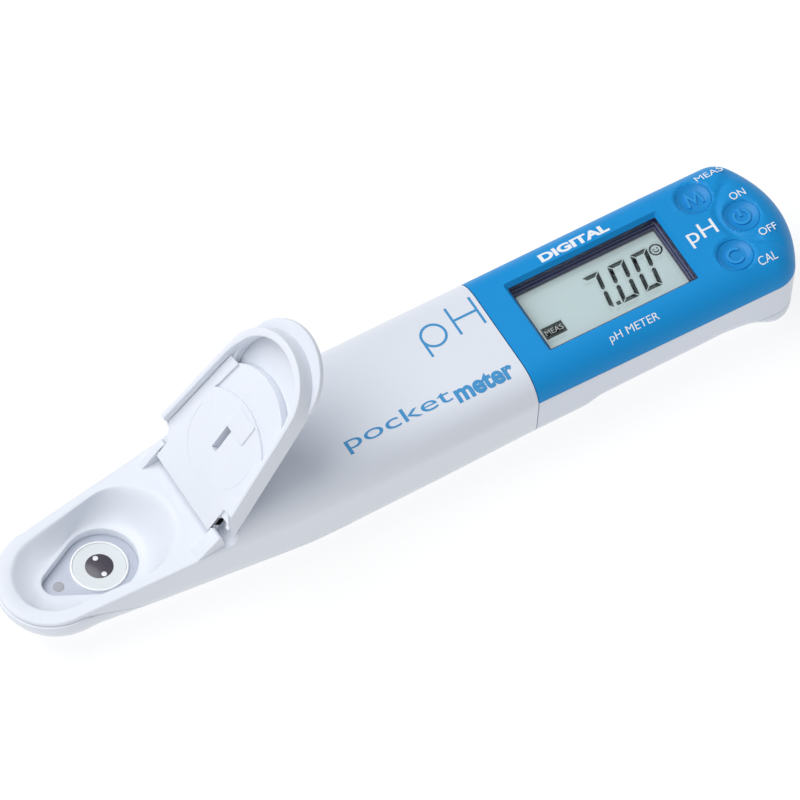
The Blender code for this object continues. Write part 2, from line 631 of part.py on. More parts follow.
def electronics(mats):
    outline = [(26.5, 12.2), (26.5, -12.2), (74.0, -12.2), (78.8, -7.5), (78.8, 7.5), (74.0, 12.2)]
    board = prism_z("main_board", outline, BOARD_Z[0], BOARD_Z[1], mats["board"])
    box("processor_chip", (38.0, 46.0), (-4.0, 4.0), (BOARD_Z[0] - 1.3, BOARD_Z[0] - 0.1), mats["dark"])
    for name, x in (("front", 47.6), ("rear", 68.2)):
        cylinder_z("coin_cell_" + name, x, 0.0, 10.0, 6.3, 9.5, mats["steel"], 32)
        box("battery_contact_" + name, (x - 1.0, x + 7.0), (-2.0, 2.0), (9.7, 10.0), mats["gold"])
    box("battery_link", (53.0, 63.0), (-3.0, 3.0), (5.5, 5.9), mats["gold"])
    for number, y in ((1, -10.2), (2, 10.2)):
        screw = cylinder_z("board_screw_%d" % number, 62.3, y, 0.8, 11.3, 15.2, mats["steel"], 12)
        cut(board, cylinder_z("hole", 62.3, y, 1.1, 10.0, 20.0, segments=12))
        join(screw, cylinder_z("head", 62.3, y, 1.6, 11.0, 12.0, segments=12))


def case_seal(mat):
    """Rubber band inside the part line, all the way round."""
    (x0, z0), (x1, z1) = METER_PART
    slope = (z1 - z0) / (x1 - x0)
    points = half_outline(0.0, 27.5, REAR_X)
    outward = normals(points)
    rings = []
    for (x, y), (nx, ny) in zip(points, outward):
        corners = []
        for step_in, lift in ((2.1, -0.5), (2.1, 0.3), (2.8, 0.3), (2.8, -0.5)):
            px = x - nx * step_in
            corners.append((px, y - ny * step_in, z0 + (px - x0) * slope + lift))
        rings.append(corners)
    mirrored = [[(x, -y, z) for x, y, z in ring] for ring in reversed(rings)]
    return loft("case_seal", rings[:-1] + mirrored, mat)


def plug(mats):
    """The tongue that the sensor unit slides onto, its gasket and its pins."""
    outer = ((-11.0, 5.0), (11.0, 17.0))
    housing = prism_x("plug_housing", rounded_rectangle(*outer, 3.0), 12.0, 26.0, mats["white"])
    inner = rounded_rectangle((-9.8, 6.2), (9.8, 15.8), 2.2)
    cut(housing, prism_x("inside", inner, 13.2, 30.0))
    gasket = prism_x("plug_gasket", rounded_rectangle((-12.2, 3.8), (12.2, 18.2), 4.2), 17.0, 18.6, mats["rubber"])
    cut(gasket, prism_x("inside", rounded_rectangle((-11.15, 4.85), (11.15, 17.15), 3.1), 10.0, 30.0))
    for number, y in ((1, -5.0), (2, 0.0), (3, 5.0)):
        cut(housing, cylinder_x("pin_hole", y, 10.0, 0.8, 10.0, 15.0))
        cylinder_x("contact_pin_%d" % number, y, 10.0, 0.5, 5.4, 15.5, mats["gold"], 8)


def build():
    clear_scene()
    mats = {
        "white": material("white_plastic", (0.80, 0.83, 0.90), 0.35),
        "grey": material("light_grey_plastic", (0.62, 0.66, 0.72), 0.40),
        "blue": material("blue_plastic", (0.02, 0.28, 0.68), 0.35),
        "dark": material("dark_plastic", (0.02, 0.03, 0.07), 0.40),
        "plate": material("sensor_plate_plastic", (0.55, 0.60, 0.68), 0.30),
        "ring": material("ring_plastic", (0.85, 0.87, 0.88), 0.30),
        "disc": material("ceramic_disc", (0.66, 0.70, 0.67), 0.35),
        "membrane": material("membrane_glass", (0.05, 0.04, 0.06), 0.15),
        "junction": material("porous_junction", (0.35, 0.34, 0.36), 0.80),
        "clear": material("clear_plastic", (0.70, 0.75, 0.80), 0.15, alpha=0.5),
        "gel": material("electrolyte", (0.60, 0.72, 0.70), 0.20),
        "window": material("clear_window", (0.85, 0.90, 0.92), 0.05, alpha=0.25),
        "lcd": material("lcd_glass", (0.52, 0.58, 0.55), 0.15),
        "rubber": material("black_rubber", (0.03, 0.03, 0.03), 0.80),
        "board": material("circuit_board", (0.02, 0.18, 0.07), 0.45),
        "flex": material("flexible_circuit", (0.45, 0.22, 0.05), 0.40),
        "steel": material("stainless_steel", (0.60, 0.60, 0.62), 0.25, 1.0),
        "gold": material("gold_plating", (0.83, 0.60, 0.22), 0.25, 1.0),
    }
    sensor_case(mats["white"])
    sensor_bottom_cover(mats["white"])
    electrode(mats)
    sensor_inside(mats)
    release_tab(mats["white"])
    open_cover([cover_frame(mats["white"]), guide_plate(mats["white"]), slide_cap(mats["white"])])
    upper_case(mats["blue"])
    lower_case(mats["grey"])
    battery_cover(mats["grey"])
    display(mats)
    keys(mats)
    electronics(mats)
    case_seal(mats["rubber"])
    plug(mats)


build()
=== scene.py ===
"""Looks of the pocket pH meter: shells, cover, keys, display, electrode, lettering, materials, light and camera.

Shapes are worked out in millimetres in the frame's own axes, and MM turns them into metres.
"""
import json
import math

import bmesh
import bpy
from mathutils import Matrix, Vector
from mathutils.geometry import tessellate_polygon


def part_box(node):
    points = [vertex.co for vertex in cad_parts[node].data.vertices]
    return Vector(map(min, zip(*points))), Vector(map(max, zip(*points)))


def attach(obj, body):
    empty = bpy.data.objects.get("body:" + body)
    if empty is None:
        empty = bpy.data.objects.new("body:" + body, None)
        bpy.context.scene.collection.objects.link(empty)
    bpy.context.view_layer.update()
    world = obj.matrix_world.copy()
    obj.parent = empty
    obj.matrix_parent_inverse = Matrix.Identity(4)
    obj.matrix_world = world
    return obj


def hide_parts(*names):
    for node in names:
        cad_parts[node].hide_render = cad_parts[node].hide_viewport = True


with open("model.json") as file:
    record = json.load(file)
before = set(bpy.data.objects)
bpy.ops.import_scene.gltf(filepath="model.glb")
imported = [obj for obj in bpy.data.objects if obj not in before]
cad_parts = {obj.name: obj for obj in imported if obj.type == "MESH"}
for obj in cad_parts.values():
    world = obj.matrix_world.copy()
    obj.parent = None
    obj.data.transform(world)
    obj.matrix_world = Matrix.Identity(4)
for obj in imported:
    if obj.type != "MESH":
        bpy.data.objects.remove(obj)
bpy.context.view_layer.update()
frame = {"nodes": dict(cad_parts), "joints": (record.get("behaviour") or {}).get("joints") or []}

MM = 0.001


def node_box(name):
    """Lowest and highest corner of a CAD node, in millimetres."""
    low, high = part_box(name)
    return [v / MM for v in low], [v / MM for v in high]


def centre(low, high):
    """Middle of a box in plan."""
    return (low[0] + high[0]) / 2, (low[1] + high[1]) / 2


# ---- sizes read from the frame
UNDER_LOW, UNDER_HIGH = node_box("sensor_bottom_cover")
TOP_LOW, TOP_HIGH = node_box("upper_case")
CASE_HIGH = node_box("sensor_case")[1]
DOOR_LOW, DOOR_HIGH = node_box("battery_cover")
WINDOW_LOW, WINDOW_HIGH = node_box("display_window")
LCD_HIGH = node_box("lcd_panel")[1]
PLATE_HIGH = node_box("sensor_plate")[1]
RING = node_box("sensor_ring")
JUNCTION = node_box("liquid_junction")
KEY_BOXES = {name: node_box("key_" + name) for name in ("meas", "power", "cal")}
HINGE = [j for j in frame["joints"] if j["name"] == "cover_hinge"][0]
PIVOT_X = HINGE["pos_m"][0] / MM
PIVOT_Z = HINGE["pos_m"][2] / MM
OPEN_ANGLE = -HINGE["range_deg"][0]

# ---- driving sizes of the body
TIP_X = UNDER_LOW[0]
REAR_X = TOP_HIGH[0]
HALF_WIDTH = CASE_HIGH[1]
TOP_Z = CASE_HIGH[2]
NOSE_X = -70.4
NOSE_RADIUS = 10.6
NOSE_SWEEP = 83.0
NOSE_STEPS = 28
LEDGE = NOSE_X - NOSE_RADIUS - TIP_X
LEDGE_END_X = -66.5
TOP_RADIUS = 6.0
CLOSED_SLOPE = 7.0
RIM_DROP = 2.45
RAMP_OFFSET = 3.25
BARREL_HALF = 9.3
EAR_INNER = 9.6
EAR_OUTER = 11.0
NEAR_EAR_OUTER = 12.45
REAR_CORNER_RADIUS = 6.0
REAR_CURVE = 0.026
REAR_CORNER_Y = 11.6
CORNER_STEPS = 16
REAR_STEPS = 12
WALL = 1.3
UNDER_WALL = 0.55
UNDER_GAP = 0.2
DOOR_WALL = 1.2
FLOOR_STRIPS = 10
WIDTHS = [(NOSE_X, NOSE_RADIUS), (-66.0, 11.05), (-57.0, 11.85), (-48.0, 12.65), (-40.0, 13.4), (-30.0, 14.15),
          (-24.0, 14.43), (-18.0, HALF_WIDTH)]
FLOOR = [(-82.0, 4.8), (-76.0, 4.2), (-62.0, 3.1), (-24.0, 0.0), (2.0, 0.5), (22.0, 1.25), (33.5, 1.25),
         (36.0, 2.4), (57.0, 2.7), (67.5, 3.1), (69.5, 2.6), (72.3, 0.4), (73.5, 0.0), (82.0, 0.0)]
FLOOR_RADIUS = [(-82.0, 3.9), (-60.0, 5.0), (-40.0, 5.8), (62.0, 5.8), (70.0, 3.6), (82.0, 3.6)]
DRAFT = [(-60.0, 0.0), (-30.0, 0.6)]
ROOF = [(-82.0, TOP_Z), (60.0, TOP_Z), (82.0, 19.5)]
SENSOR_PART = [(-90.0, 9.2), (-81.0, 9.3), (-76.0, 9.9), (-70.0, 10.4), (-66.0, 9.4), (-55.0, 5.3), (-21.0, 4.5),
               (-16.4, 4.3)]
METER_PART = [(22.0, 14.7), (80.0, 13.9)]
UNDER_END_X = UNDER_HIGH[0]
WELL_TOP = ((-69.6, 8.4), (-56.0, 10.1))
WELL_FLOOR = ((-69.9, 3.4), (-61.0, 7.5))
WELL_FLOOR_Z = 7.8
DROP = ((-69.9, 2.75), (-60.9, 6.9))
BOWL_CENTRE_X = -60.0
BOWL_BLEND = 9.0
BOWL_SHARES = (1.06, 1.03, 1.0, 0.97, 0.93, 0.88, 0.82, 0.75, 0.67, 0.58, 0.5, 0.42, 0.34, 0.26, 0.18, 0.1, 0.0)
RIM_EDGE = 0.45
MERGE_DISTANCE = 0.0005


# ---- small helpers
def along(table, x):
    """Value of a table of (x, value) pairs at x, straight between its points."""
    if x <= table[0][0]:
        return table[0][1]
    for (x0, v0), (x1, v1) in zip(table, table[1:]):
        if x <= x1:
            return v0 + (v1 - v0) * (x - x0) / (x1 - x0)
    return table[-1][1]


def eased(table, x, reach=1.2):
    """along() averaged over a short stretch, which rounds the table's corners."""
    weights = {-1.0: 1.0, -0.5: 2.0, 0.0: 3.0, 0.5: 2.0, 1.0: 1.0}
    return sum(w * along(table, x + s * reach) for s, w in weights.items()) / sum(weights.values())


def ease(t):
    t = min(max(t, 0.0), 1.0)
    return t * t * (3 - 2 * t)


def softer_min(a, b, reach):
    """Lower of two heights, with a rounded corner where they cross."""
    h = max(reach - abs(a - b), 0.0) / reach
    return min(a, b) - h * h * reach * 0.25


def arc(cx, cy, radius, start, stop, steps):
    angles = [math.radians(start + (stop - start) * k / steps) for k in range(steps + 1)]
    return [(cx + radius * math.cos(t), cy + radius * math.sin(t)) for t in angles]


def spread(start, stop, spacing):
    count = max(math.ceil((stop - start) / spacing), 1)
    return [start + (stop - start) * k / count for k in range(count + 1)]


def plain_object(name, bm, mat=None, matrix=None):
    """Object in metres from a bmesh in millimetres, not yet on a body."""
    bmesh.ops.remove_doubles(bm, verts=bm.verts[:], dist=MERGE_DISTANCE)
    bmesh.ops.recalc_face_normals(bm, faces=bm.faces[:])
    bmesh.ops.scale(bm, vec=(MM, MM, MM), verts=bm.verts[:])
    if matrix is not None:
        bmesh.ops.transform(bm, matrix=matrix, verts=bm.verts[:])
    mesh = bpy.data.meshes.new(name)
    bm.to_mesh(mesh)
    bm.free()
    if mat is not None:
        mesh.materials.append(mat)
    return linked(bpy.data.objects.new(name, mesh))


def linked(obj):
    bpy.context.scene.collection.objects.link(obj)
    return obj


def add_piece(name, bm, body, mat, replaces=(), matrix=None, angle=30.0):
    """Makes an object from a bmesh, and lets it ride on its body."""
    finish_piece(plain_object(name, bm, mat, matrix), body, replaces, angle)


def finish_piece(obj, body, replaces, angle):
    obj.data.shade_smooth()
    obj.data.set_sharp_from_angle(angle=math.radians(angle))
    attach(obj, body)
    if replaces:
        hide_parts(*replaces)


def bridge(bm, lower, upper, closed=True):
    count = len(lower)
    for i in range(count if closed else count - 1):
        j = (i + 1) % count
        corners = list(dict.fromkeys((lower[i], lower[j], upper[j], upper[i])))
        if len(corners) > 2:
            bm.faces.new(corners)


def sheet_rows(bm, rows, closed=False):
    """Faces between rows of points with as many points each; returns the rows of vertices."""
    made = [[bm.verts.new(p) for p in row] for row in rows]
    for lower, upper in zip(made, made[1:]):
        bridge(bm, lower, upper, closed)
    return made


def rings_mesh(rings):
    """Closed mesh through rings of points."""
    bm = bmesh.new()
    rows = sheet_rows(bm, rings, closed=True)
    bm.faces.new(rows[0])
    bm.faces.new(rows[-1])
    return bm


def at_height(points, z):
    return [(x, y, z) for x, y in points]


def turned(profile, cx, cy, segments=64):
    """Turned piece round a vertical axis: profile is a list of (radius, height)."""
    return rings_mesh([at_height(circle(cx, cy, r, segments), z) for r, z in profile])


# ---- materials
DRIFT_SCALE = 35.0
GRAIN_HEIGHT = 0.00006
SUBSURFACE_REACH = (0.0012, 0.0011, 0.0010)


def set_inputs(node, **values):
    """Sets a node's inputs by name, with _ for a blank."""
    for name, value in values.items():
        node.inputs[name.replace("_", " ")].default_value = value


def surface(tree, color, rough, grain, grain_depth, tint):
    """Moulded surface: faint colour drift, roughness drift and a fine grain, all from object space."""
    shader = tree.nodes["Principled BSDF"]
    place, drift, mix, fine, bump, spread_rough = (tree.nodes.new("ShaderNode" + kind) for kind in (
        "TexCoord", "TexNoise", "MixRGB", "TexNoise", "Bump", "MapRange"))
    set_inputs(drift, Scale=DRIFT_SCALE, Detail=3.0)
    set_inputs(mix, Color1=(*color, 1.0), Color2=(*[c * (1 - tint) for c in color], 1.0))
    set_inputs(fine, Scale=grain, Detail=4.0)
    set_inputs(bump, Strength=grain_depth, Distance=GRAIN_HEIGHT)
    set_inputs(spread_rough, To_Min=rough - 0.05, To_Max=rough + 0.06)
    for source, out, target, socket in (
            (place, "Object", drift, "Vector"), (place, "Object", fine, "Vector"), (drift, "Fac", mix, "Fac"),
            (mix, "Color", shader, "Base Color"), (fine, "Fac", bump, "Height"), (bump, "Normal", shader, "Normal"),
            (fine, "Fac", spread_rough, "Value"), (spread_rough, "Result", shader, "Roughness")):
        tree.links.new(source.outputs[out], target.inputs[socket])
    return shader


def moulded(name, color, rough=0.35, grain=2200.0, depth=0.10, tint=0.03, metallic=0.0, specular=0.5,
            coat=0.0, subsurface=0.0, transmission=0.0, alpha=1.0):
    mat = bpy.data.materials.new(name)
    mat.use_nodes = True
    shader = surface(mat.node_tree, color, rough, grain, depth, tint)
    set_inputs(shader, Metallic=metallic, Specular_IOR_Level=specular, Coat_Weight=coat, Coat_Roughness=0.12,
               Transmission_Weight=transmission, Alpha=alpha)
    if subsurface:
        set_inputs(shader, Subsurface_Weight=subsurface, Subsurface_Radius=SUBSURFACE_REACH)
    return mat


MATS = {
    "white": moulded("white_plastic", (0.80, 0.828, 0.892), 0.36, specular=0.35, subsurface=0.08),
    "shade": moulded("white_plastic_low", (0.75, 0.79, 0.87), 0.38, specular=0.35),
    "blue": moulded("blue_plastic", (0.011, 0.295, 0.700), 0.40, specular=0.15),
    "key": moulded("blue_key_plastic", (0.010, 0.270, 0.660), 0.34, specular=0.3),
    "symbol": moulded("key_symbol", (0.02, 0.33, 0.75), 0.30, specular=0.45),
    # dark plastic of the chips and switches; on the display's stepped walls this darkness is also painted shade of
    # the deep recess
    "dark": moulded("dark_plastic_and_painted_shade", (0.012, 0.022, 0.075), 0.34, specular=0.3),
    # painted highlight: a lighter blue-grey for the lit top faces of the display's dark steps
    "edge_highlight": moulded("painted_highlight_on_frame_edges", (0.20, 0.21, 0.34), 0.35, specular=0.3),
    "seal_line": moulded("display_seal_line", (0.17, 0.13, 0.15), 0.6),
    "plate": moulded("sensor_plate_plastic", (0.54, 0.575, 0.66), 0.32, specular=0.3),
    "ring": moulded("ring_plastic", (0.97, 0.975, 0.98), 0.30),
    "disc": moulded("pale_ceramic", (0.74, 0.775, 0.785), 0.34, grain=4000.0, specular=0.3),
    "membrane": moulded("dark_membrane", (0.055, 0.045, 0.065), 0.30, grain=5200.0, depth=0.35, coat=0.5),
    # near-white colour of the two bright dots raised on the dark membrane
    "contact": moulded("bright_membrane_dot", (0.85, 0.86, 0.88), 0.22, coat=0.2),
    "junction": moulded("porous_junction", (0.42, 0.42, 0.45), 0.75, grain=5200.0, depth=0.6),
    "lcd": moulded("display_glass", (0.63, 0.755, 0.75), 0.30, grain=900.0, depth=0.02, tint=0.12, specular=0.2),
    "ink": moulded("display_ink", (0.002, 0.002, 0.003), 0.5, specular=0.05),
    "lcd_pale": moulded("display_pale_ink", (0.60, 0.65, 0.62), 0.3),
    "print_white": moulded("white_print", (0.90, 0.92, 0.95), 0.45),
    "print_blue": moulded("blue_print", (0.045, 0.30, 0.62), 0.40),
    "rubber": moulded("black_rubber", (0.02, 0.02, 0.021), 0.75, grain=3000.0, depth=0.3),
    "board": moulded("circuit_board", (0.012, 0.14, 0.045), 0.40, grain=2600.0, depth=0.2),
    "flex": moulded("flexible_circuit", (0.40, 0.19, 0.04), 0.35),
    "steel": moulded("stainless_steel", (0.56, 0.56, 0.58), 0.24, grain=6000.0, depth=0.15, metallic=1.0),
    "gold": moulded("gold_plating", (0.83, 0.58, 0.22), 0.22, metallic=1.0),
    "clear": moulded("clear_plastic", (0.72, 0.77, 0.80), 0.14, coat=0.3, alpha=0.6),
    "gel": moulded("electrolyte_gel", (0.58, 0.70, 0.68), 0.20),
    "window": moulded("clear_window", (0.93, 0.96, 0.98), 0.03, grain=300.0, depth=0.0, tint=0.01, transmission=1.0,
                      specular=0.05, alpha=0.10),
}
CAD_LOOKS = {
    "dark": ("lcd_frame", "processor_chip", "tact_switch_meas", "tact_switch_power", "tact_switch_cal"),
    "lcd": ("lcd_panel",),
    "window": ("display_window",),
    "rubber": ("case_seal", "plug_gasket", "keypad_membrane", "lcd_connector_front", "lcd_connector_back"),
    "board": ("main_board", "sensor_contact_board"),
    "flex": ("sensor_flex",),
    "steel": ("coin_cell_front", "coin_cell_rear", "board_screw_1", "board_screw_2", "hinge_pin"),
    "gold": ("battery_contact_front", "battery_contact_rear", "battery_link",
             "contact_pin_1", "contact_pin_2", "contact_pin_3"),
    "clear": ("reference_cell", "reference_cell_cap"),
    "gel": ("electrolyte_gel",),
    "white": ("plug_housing", "sensor_release_tab"),
}
for look, names in CAD_LOOKS.items():
    for node_name in names:
        node = frame["nodes"][node_name]
        node.data.materials.clear()
        node.data.materials.append(MATS[look])


# ---- outline and heights of the body
def half_width(x):
    return eased(WIDTHS, x, 1.5) if x < -17.0 else HALF_WIDTH


def plan(start_x, stop_x, spacing=1.0, ledge=0.0, extra=()):
    """Points (x, y, normal x, normal y) of the plan's +Y side from start_x to stop_x."""
    lean = 2 * REAR_CURVE * REAR_CORNER_Y
    corner_x = REAR_X - REAR_CURVE * REAR_CORNER_Y ** 2 - REAR_CORNER_RADIUS / math.hypot(1.0, lean)
    corner_y = HALF_WIDTH - REAR_CORNER_RADIUS
    points = []
    if start_x < NOSE_X:
        grown = NOSE_RADIUS + ledge
        for c, s in arc(0.0, 0.0, 1.0, 180.0, 180.0 - NOSE_SWEEP, NOSE_STEPS):
            points.append((NOSE_X + grown * c, max(grown * s, 0.0), c, s))
    side_start = max(start_x, NOSE_X)
    side_stop = min(stop_x, corner_x)
    if side_start < side_stop:
        more = {x for x in extra if side_start < x < side_stop}
        for x in sorted(set(spread(side_start, side_stop, spacing)) | more):
            slope = (half_width(x + 0.2) - half_width(x - 0.2)) / 0.4
            length = math.hypot(1.0, slope)
            grow = ledge * ease((LEDGE_END_X - x) / 4.0)
            points.append((x, half_width(x) + grow, -slope / length, 1.0 / length))
    if stop_x > corner_x:
        last = math.atan(lean)
        for k in range(1, CORNER_STEPS + 1):
            t = math.pi / 2 + (last - math.pi / 2) * k / CORNER_STEPS
            c, s = math.cos(t), math.sin(t)
            points.append((corner_x + REAR_CORNER_RADIUS * c, corner_y + REAR_CORNER_RADIUS * s, c, s))
        for k in range(1, REAR_STEPS + 1):
            y = REAR_CORNER_Y * (1 - k / REAR_STEPS)
            lean = 2 * REAR_CURVE * y
            length = math.hypot(1.0, lean)
            points.append((REAR_X - REAR_CURVE * y * y, y, 1.0 / length, lean / length))
    return points


def floor_z(x):
    return eased(FLOOR, x, 1.4)


def roof_z(x):
    return along(ROOF, x)


def rim_z(x):
    slope = math.radians(CLOSED_SLOPE)
    x0 = PIVOT_X + RIM_DROP * math.sin(slope)
    return PIVOT_Z - RIM_DROP * math.cos(slope) + (x - x0) * math.tan(slope)


def from_open_cover(a, n):
    turn = math.radians(OPEN_ANGLE - CLOSED_SLOPE)
    c, s = math.cos(turn), math.sin(turn)
    return PIVOT_X - a * c + n * s, PIVOT_Z + a * s + n * c


RAMP_LOW = from_open_cover(-0.5, RAMP_OFFSET)
RAMP_HIGH = from_open_cover(6.3, RAMP_OFFSET)


def nose_z(x):
    """Height that the body is cut down to: the rim's plane, then the ramp behind the hinge."""
    ramp = RAMP_LOW[1] + (x - RAMP_LOW[0]) * (RAMP_HIGH[1] - RAMP_LOW[1]) / (RAMP_HIGH[0] - RAMP_LOW[0])
    blended = -softer_min(-rim_z(x), -ramp, 0.8)
    return blended if x < RAMP_HIGH[0] + 3.0 else 40.0


def side_inset(x, z):
    """How far the side stands in from the plan at height z: floor edge, draft and top edge."""
    radius = eased(FLOOR_RADIUS, x)
    base = floor_z(x)
    crown = roof_z(x) - TOP_RADIUS
    inset = 0.0
    if z < base + radius:
        inset = radius - math.sqrt(max(radius ** 2 - (radius - max(z - base, 0.0)) ** 2, 0.0))
    if z > crown:
        inset += TOP_RADIUS - math.sqrt(max(TOP_RADIUS ** 2 - (z - crown) ** 2, 0.0))
    straight = (crown - z) / (crown - base - radius)
    return inset + along(DRAFT, x) * min(max(straight, 0.0), 1.0)


def lower_height(x, share, part):
    """Height at a share of the way from the floor's flat part up to the part line."""
    radius = eased(FLOOR_RADIUS, x)
    base = floor_z(x)
    rise = part(x) - base
    if rise < radius:
        return base + radius * (1 - math.cos(math.acos(1 - rise / radius) * share))
    if share <= 0.75:
        return base + radius * (1 - math.cos(math.pi / 2 * share / 0.75))
    return base + radius + (rise - radius) * (share - 0.75) / 0.25


def roof_drop(inset, radius):
    """How far a rounded edge lies below its flat top, at an inset from the side."""
    return radius - math.sqrt(max(radius ** 2 - (radius - inset) ** 2, 0.0)) if inset < radius else 0.0


TOP_INSETS = [0.0, 0.03, 0.1, 0.2, 0.32, 0.45, 0.7, 1.0, 1.5, 2.0, 2.6, 3.3, 4.0, 5.0, TOP_RADIUS]
CAP_INSET = 1.0
CAP_X = -44.9


def top_height(x, inset):
    """Height of the top at an inset from the side, with the nose cut down to its rim."""
    rounded = roof_z(x) - roof_drop(inset, TOP_RADIUS)
    return softer_min(rounded, nose_z(x) - roof_drop(inset, RIM_EDGE), 0.3)


def surface_z(x, y):
    """Height of the finished top behind the nose at a place in plan."""
    return roof_z(x) - roof_drop(max(half_width(x) - abs(y), 0.0), TOP_RADIUS)


def inset_point(point, inset):
    x, y, nx, ny = point
    return x - nx * inset, max(y - ny * inset, 0.0) if y > 0.001 else 0.0


def mirrored(rows):
    return [[(x, -y, z) for x, y, z in row] for row in rows]


def both_sides(bm, rows, strips=0, from_row=-1):
    """Faces between rows on both sides of the body; strips joins one row across the middle."""
    right = sheet_rows(bm, rows)
    left = sheet_rows(bm, mirrored(rows))
    if strips:
        lines = [right[from_row]]
        for k in range(1, strips):
            pairs = zip(right[from_row], left[from_row])
            lines.append([bm.verts.new(a.co.lerp(b.co, k / strips)) for a, b in pairs])
        lines.append(left[from_row])
        for near, far in zip(lines, lines[1:]):
            bridge(bm, near, far, closed=False)
        return lines
    return right, left


def wall_rows(points, height, steps):
    """Rows up the side: height gives z from x and the share of the way up."""
    rows = []
    for k in range(steps + 1):
        row = []
        for point in points:
            z = height(point[0], k / steps)
            row.append((*inset_point(point, side_inset(point[0], z)), z))
        rows.append(row)
    return rows


def side_rows(points, low, high, steps):
    """Rows up the side between two heights, each a function of x."""
    return wall_rows(points, lambda x, share: low(x) + (high(x) - low(x)) * share, steps)


def lower_rows(points, part, steps=12):
    """Rows from the floor up to the part line."""
    return wall_rows(points, lambda x, share: lower_height(x, share, part), steps)


def floor_sheet(bm, points, part):
    both_sides(bm, lower_rows(points, part), strips=FLOOR_STRIPS, from_row=0)


def top_row(points, inset):
    return [(x, y, top_height(x, inset)) for x, y in (inset_point(p, inset) for p in points)]


def capsule_reach(x, y, front, back):
    """Signed distance from a place in plan to an egg round two circles (centre x, radius)."""
    (x0, r0), (x1, r1) = front, back
    span = x1 - x0
    lean = (r0 - r1) / span
    upright = math.sqrt(1 - lean * lean)
    px, py = abs(y), x - x0
    k = -px * lean + py * upright
    if k < 0.0:
        return math.hypot(px, py) - r0
    if k > upright * span:
        return math.hypot(px, py - span) - r1
    return px * upright + py * lean - r0


def egg_hits(centre_x, directions, front, back, steps=40):
    """Where rays from (centre_x, 0) meet an egg."""
    hits = []
    for dx, dy in directions:
        near, far = 0.0, 60.0
        for _ in range(steps):
            middle = (near + far) / 2
            if capsule_reach(centre_x + dx * middle, dy * middle, front, back) < 0.0:
                near = middle
            else:
                far = middle
        hits.append((centre_x + dx * near, dy * near))
    return hits


def blended_egg(share):
    return tuple((x0 + (x1 - x0) * share, r0 + (r1 - r0) * share)
                 for (x0, r0), (x1, r1) in zip(WELL_FLOOR, WELL_TOP))


def grown_egg(egg, extra):
    return tuple((x, r + extra) for x, r in egg)


# ---- flat pieces with rounded edges
def oriented(points, ccw=True):
    area = sum(x0 * y1 - x1 * y0 for (x0, y0), (x1, y1) in zip(points, points[1:] + points[:1]))
    return list(points) if (area > 0) == ccw else list(reversed(points))


def mitre(before, here, after):
    """Sum of the unit normals on both sides of a corner, and its length."""
    ax, ay, bx, by = here[0] - before[0], here[1] - before[1], after[0] - here[0], after[1] - here[1]
    la, lb = math.hypot(ax, ay) or 1.0, math.hypot(bx, by) or 1.0
    nx, ny = -ay / la - by / lb, ax / la + bx / lb
    return nx, ny, math.hypot(nx, ny)


def offset_loop(points, inset):
    """Closed outline moved to the left of its direction by inset."""
    out = []
    for i, (x, y) in enumerate(points):
        nx, ny, length = mitre(points[i - 1], (x, y), points[(i + 1) % len(points)])
        reach = inset / max(length / 2, 0.35)
        out.append((x + nx / length * reach, y + ny / length * reach))
    return out


def rounded_levels(radius, edge, inward, steps=3):
    """(inset, height) pairs round an edge: inward is 1 where the flat face is below, -1 where it is above."""
    if not radius:
        return [(0.0, edge)]
    turns = [math.pi / 2 * k / steps for k in range(steps + 1)]
    if inward > 0:
        return [(radius * (1 - math.sin(t)), edge + radius * (1 - math.cos(t))) for t in turns]
    return [(radius * (1 - math.cos(t)), edge - radius * (1 - math.sin(t))) for t in turns]


def slab(outline, low, high, round_low=0.0, round_high=0.0, holes=(), axis="z"):
    """Flat piece between two heights, with rounded edges and holes right through it."""
    loops = [oriented(outline)] + [oriented(hole, False) for hole in holes]
    levels = rounded_levels(round_low, low, 1) + rounded_levels(round_high, high, -1)
    bm = bmesh.new()
    stacks = [[[bm.verts.new(p) for p in at_height(offset_loop(loop, inset), z)] for loop in loops]
              for inset, z in levels]
    for lower, upper in zip(stacks, stacks[1:]):
        for a, b in zip(lower, upper):
            bridge(bm, a, b)
    for stack in (stacks[0], stacks[-1]):
        flat = sum(stack, [])
        for tri in tessellate_polygon([[v.co for v in loop] for loop in stack]):
            corners = list(dict.fromkeys(flat[i] for i in tri))
            if len(corners) == 3:
                bm.faces.new(corners)
    if axis == "y":
        for vert in bm.verts:
            vert.co = vert.co.xzy
    return bm


def merged(*parts):
    """One bmesh out of several."""
    whole = bmesh.new()
    for part in parts:
        mesh = bpy.data.meshes.new("part")
        part.to_mesh(mesh)
        part.free()
        whole.from_mesh(mesh)
        bpy.data.meshes.remove(mesh)
    return whole


def rectangle(x0, x1, y0, y1):
    return [(x0, y0), (x1, y0), (x1, y1), (x0, y1)]


def rounded_rectangle(x0, x1, y0, y1, radius):
    inner = rectangle(x1 - radius, x0 + radius, y1 - radius, y0 + radius)
    corners = zip(inner, (0, 90, 180, 270))
    return [p for (cx, cy), start in corners for p in arc(cx, cy, radius, start, start + 90, 5)]


def circle(cx, cy, radius, segments=64):
    return arc(cx, cy, radius, 0, 360 - 360 / segments, segments - 1)


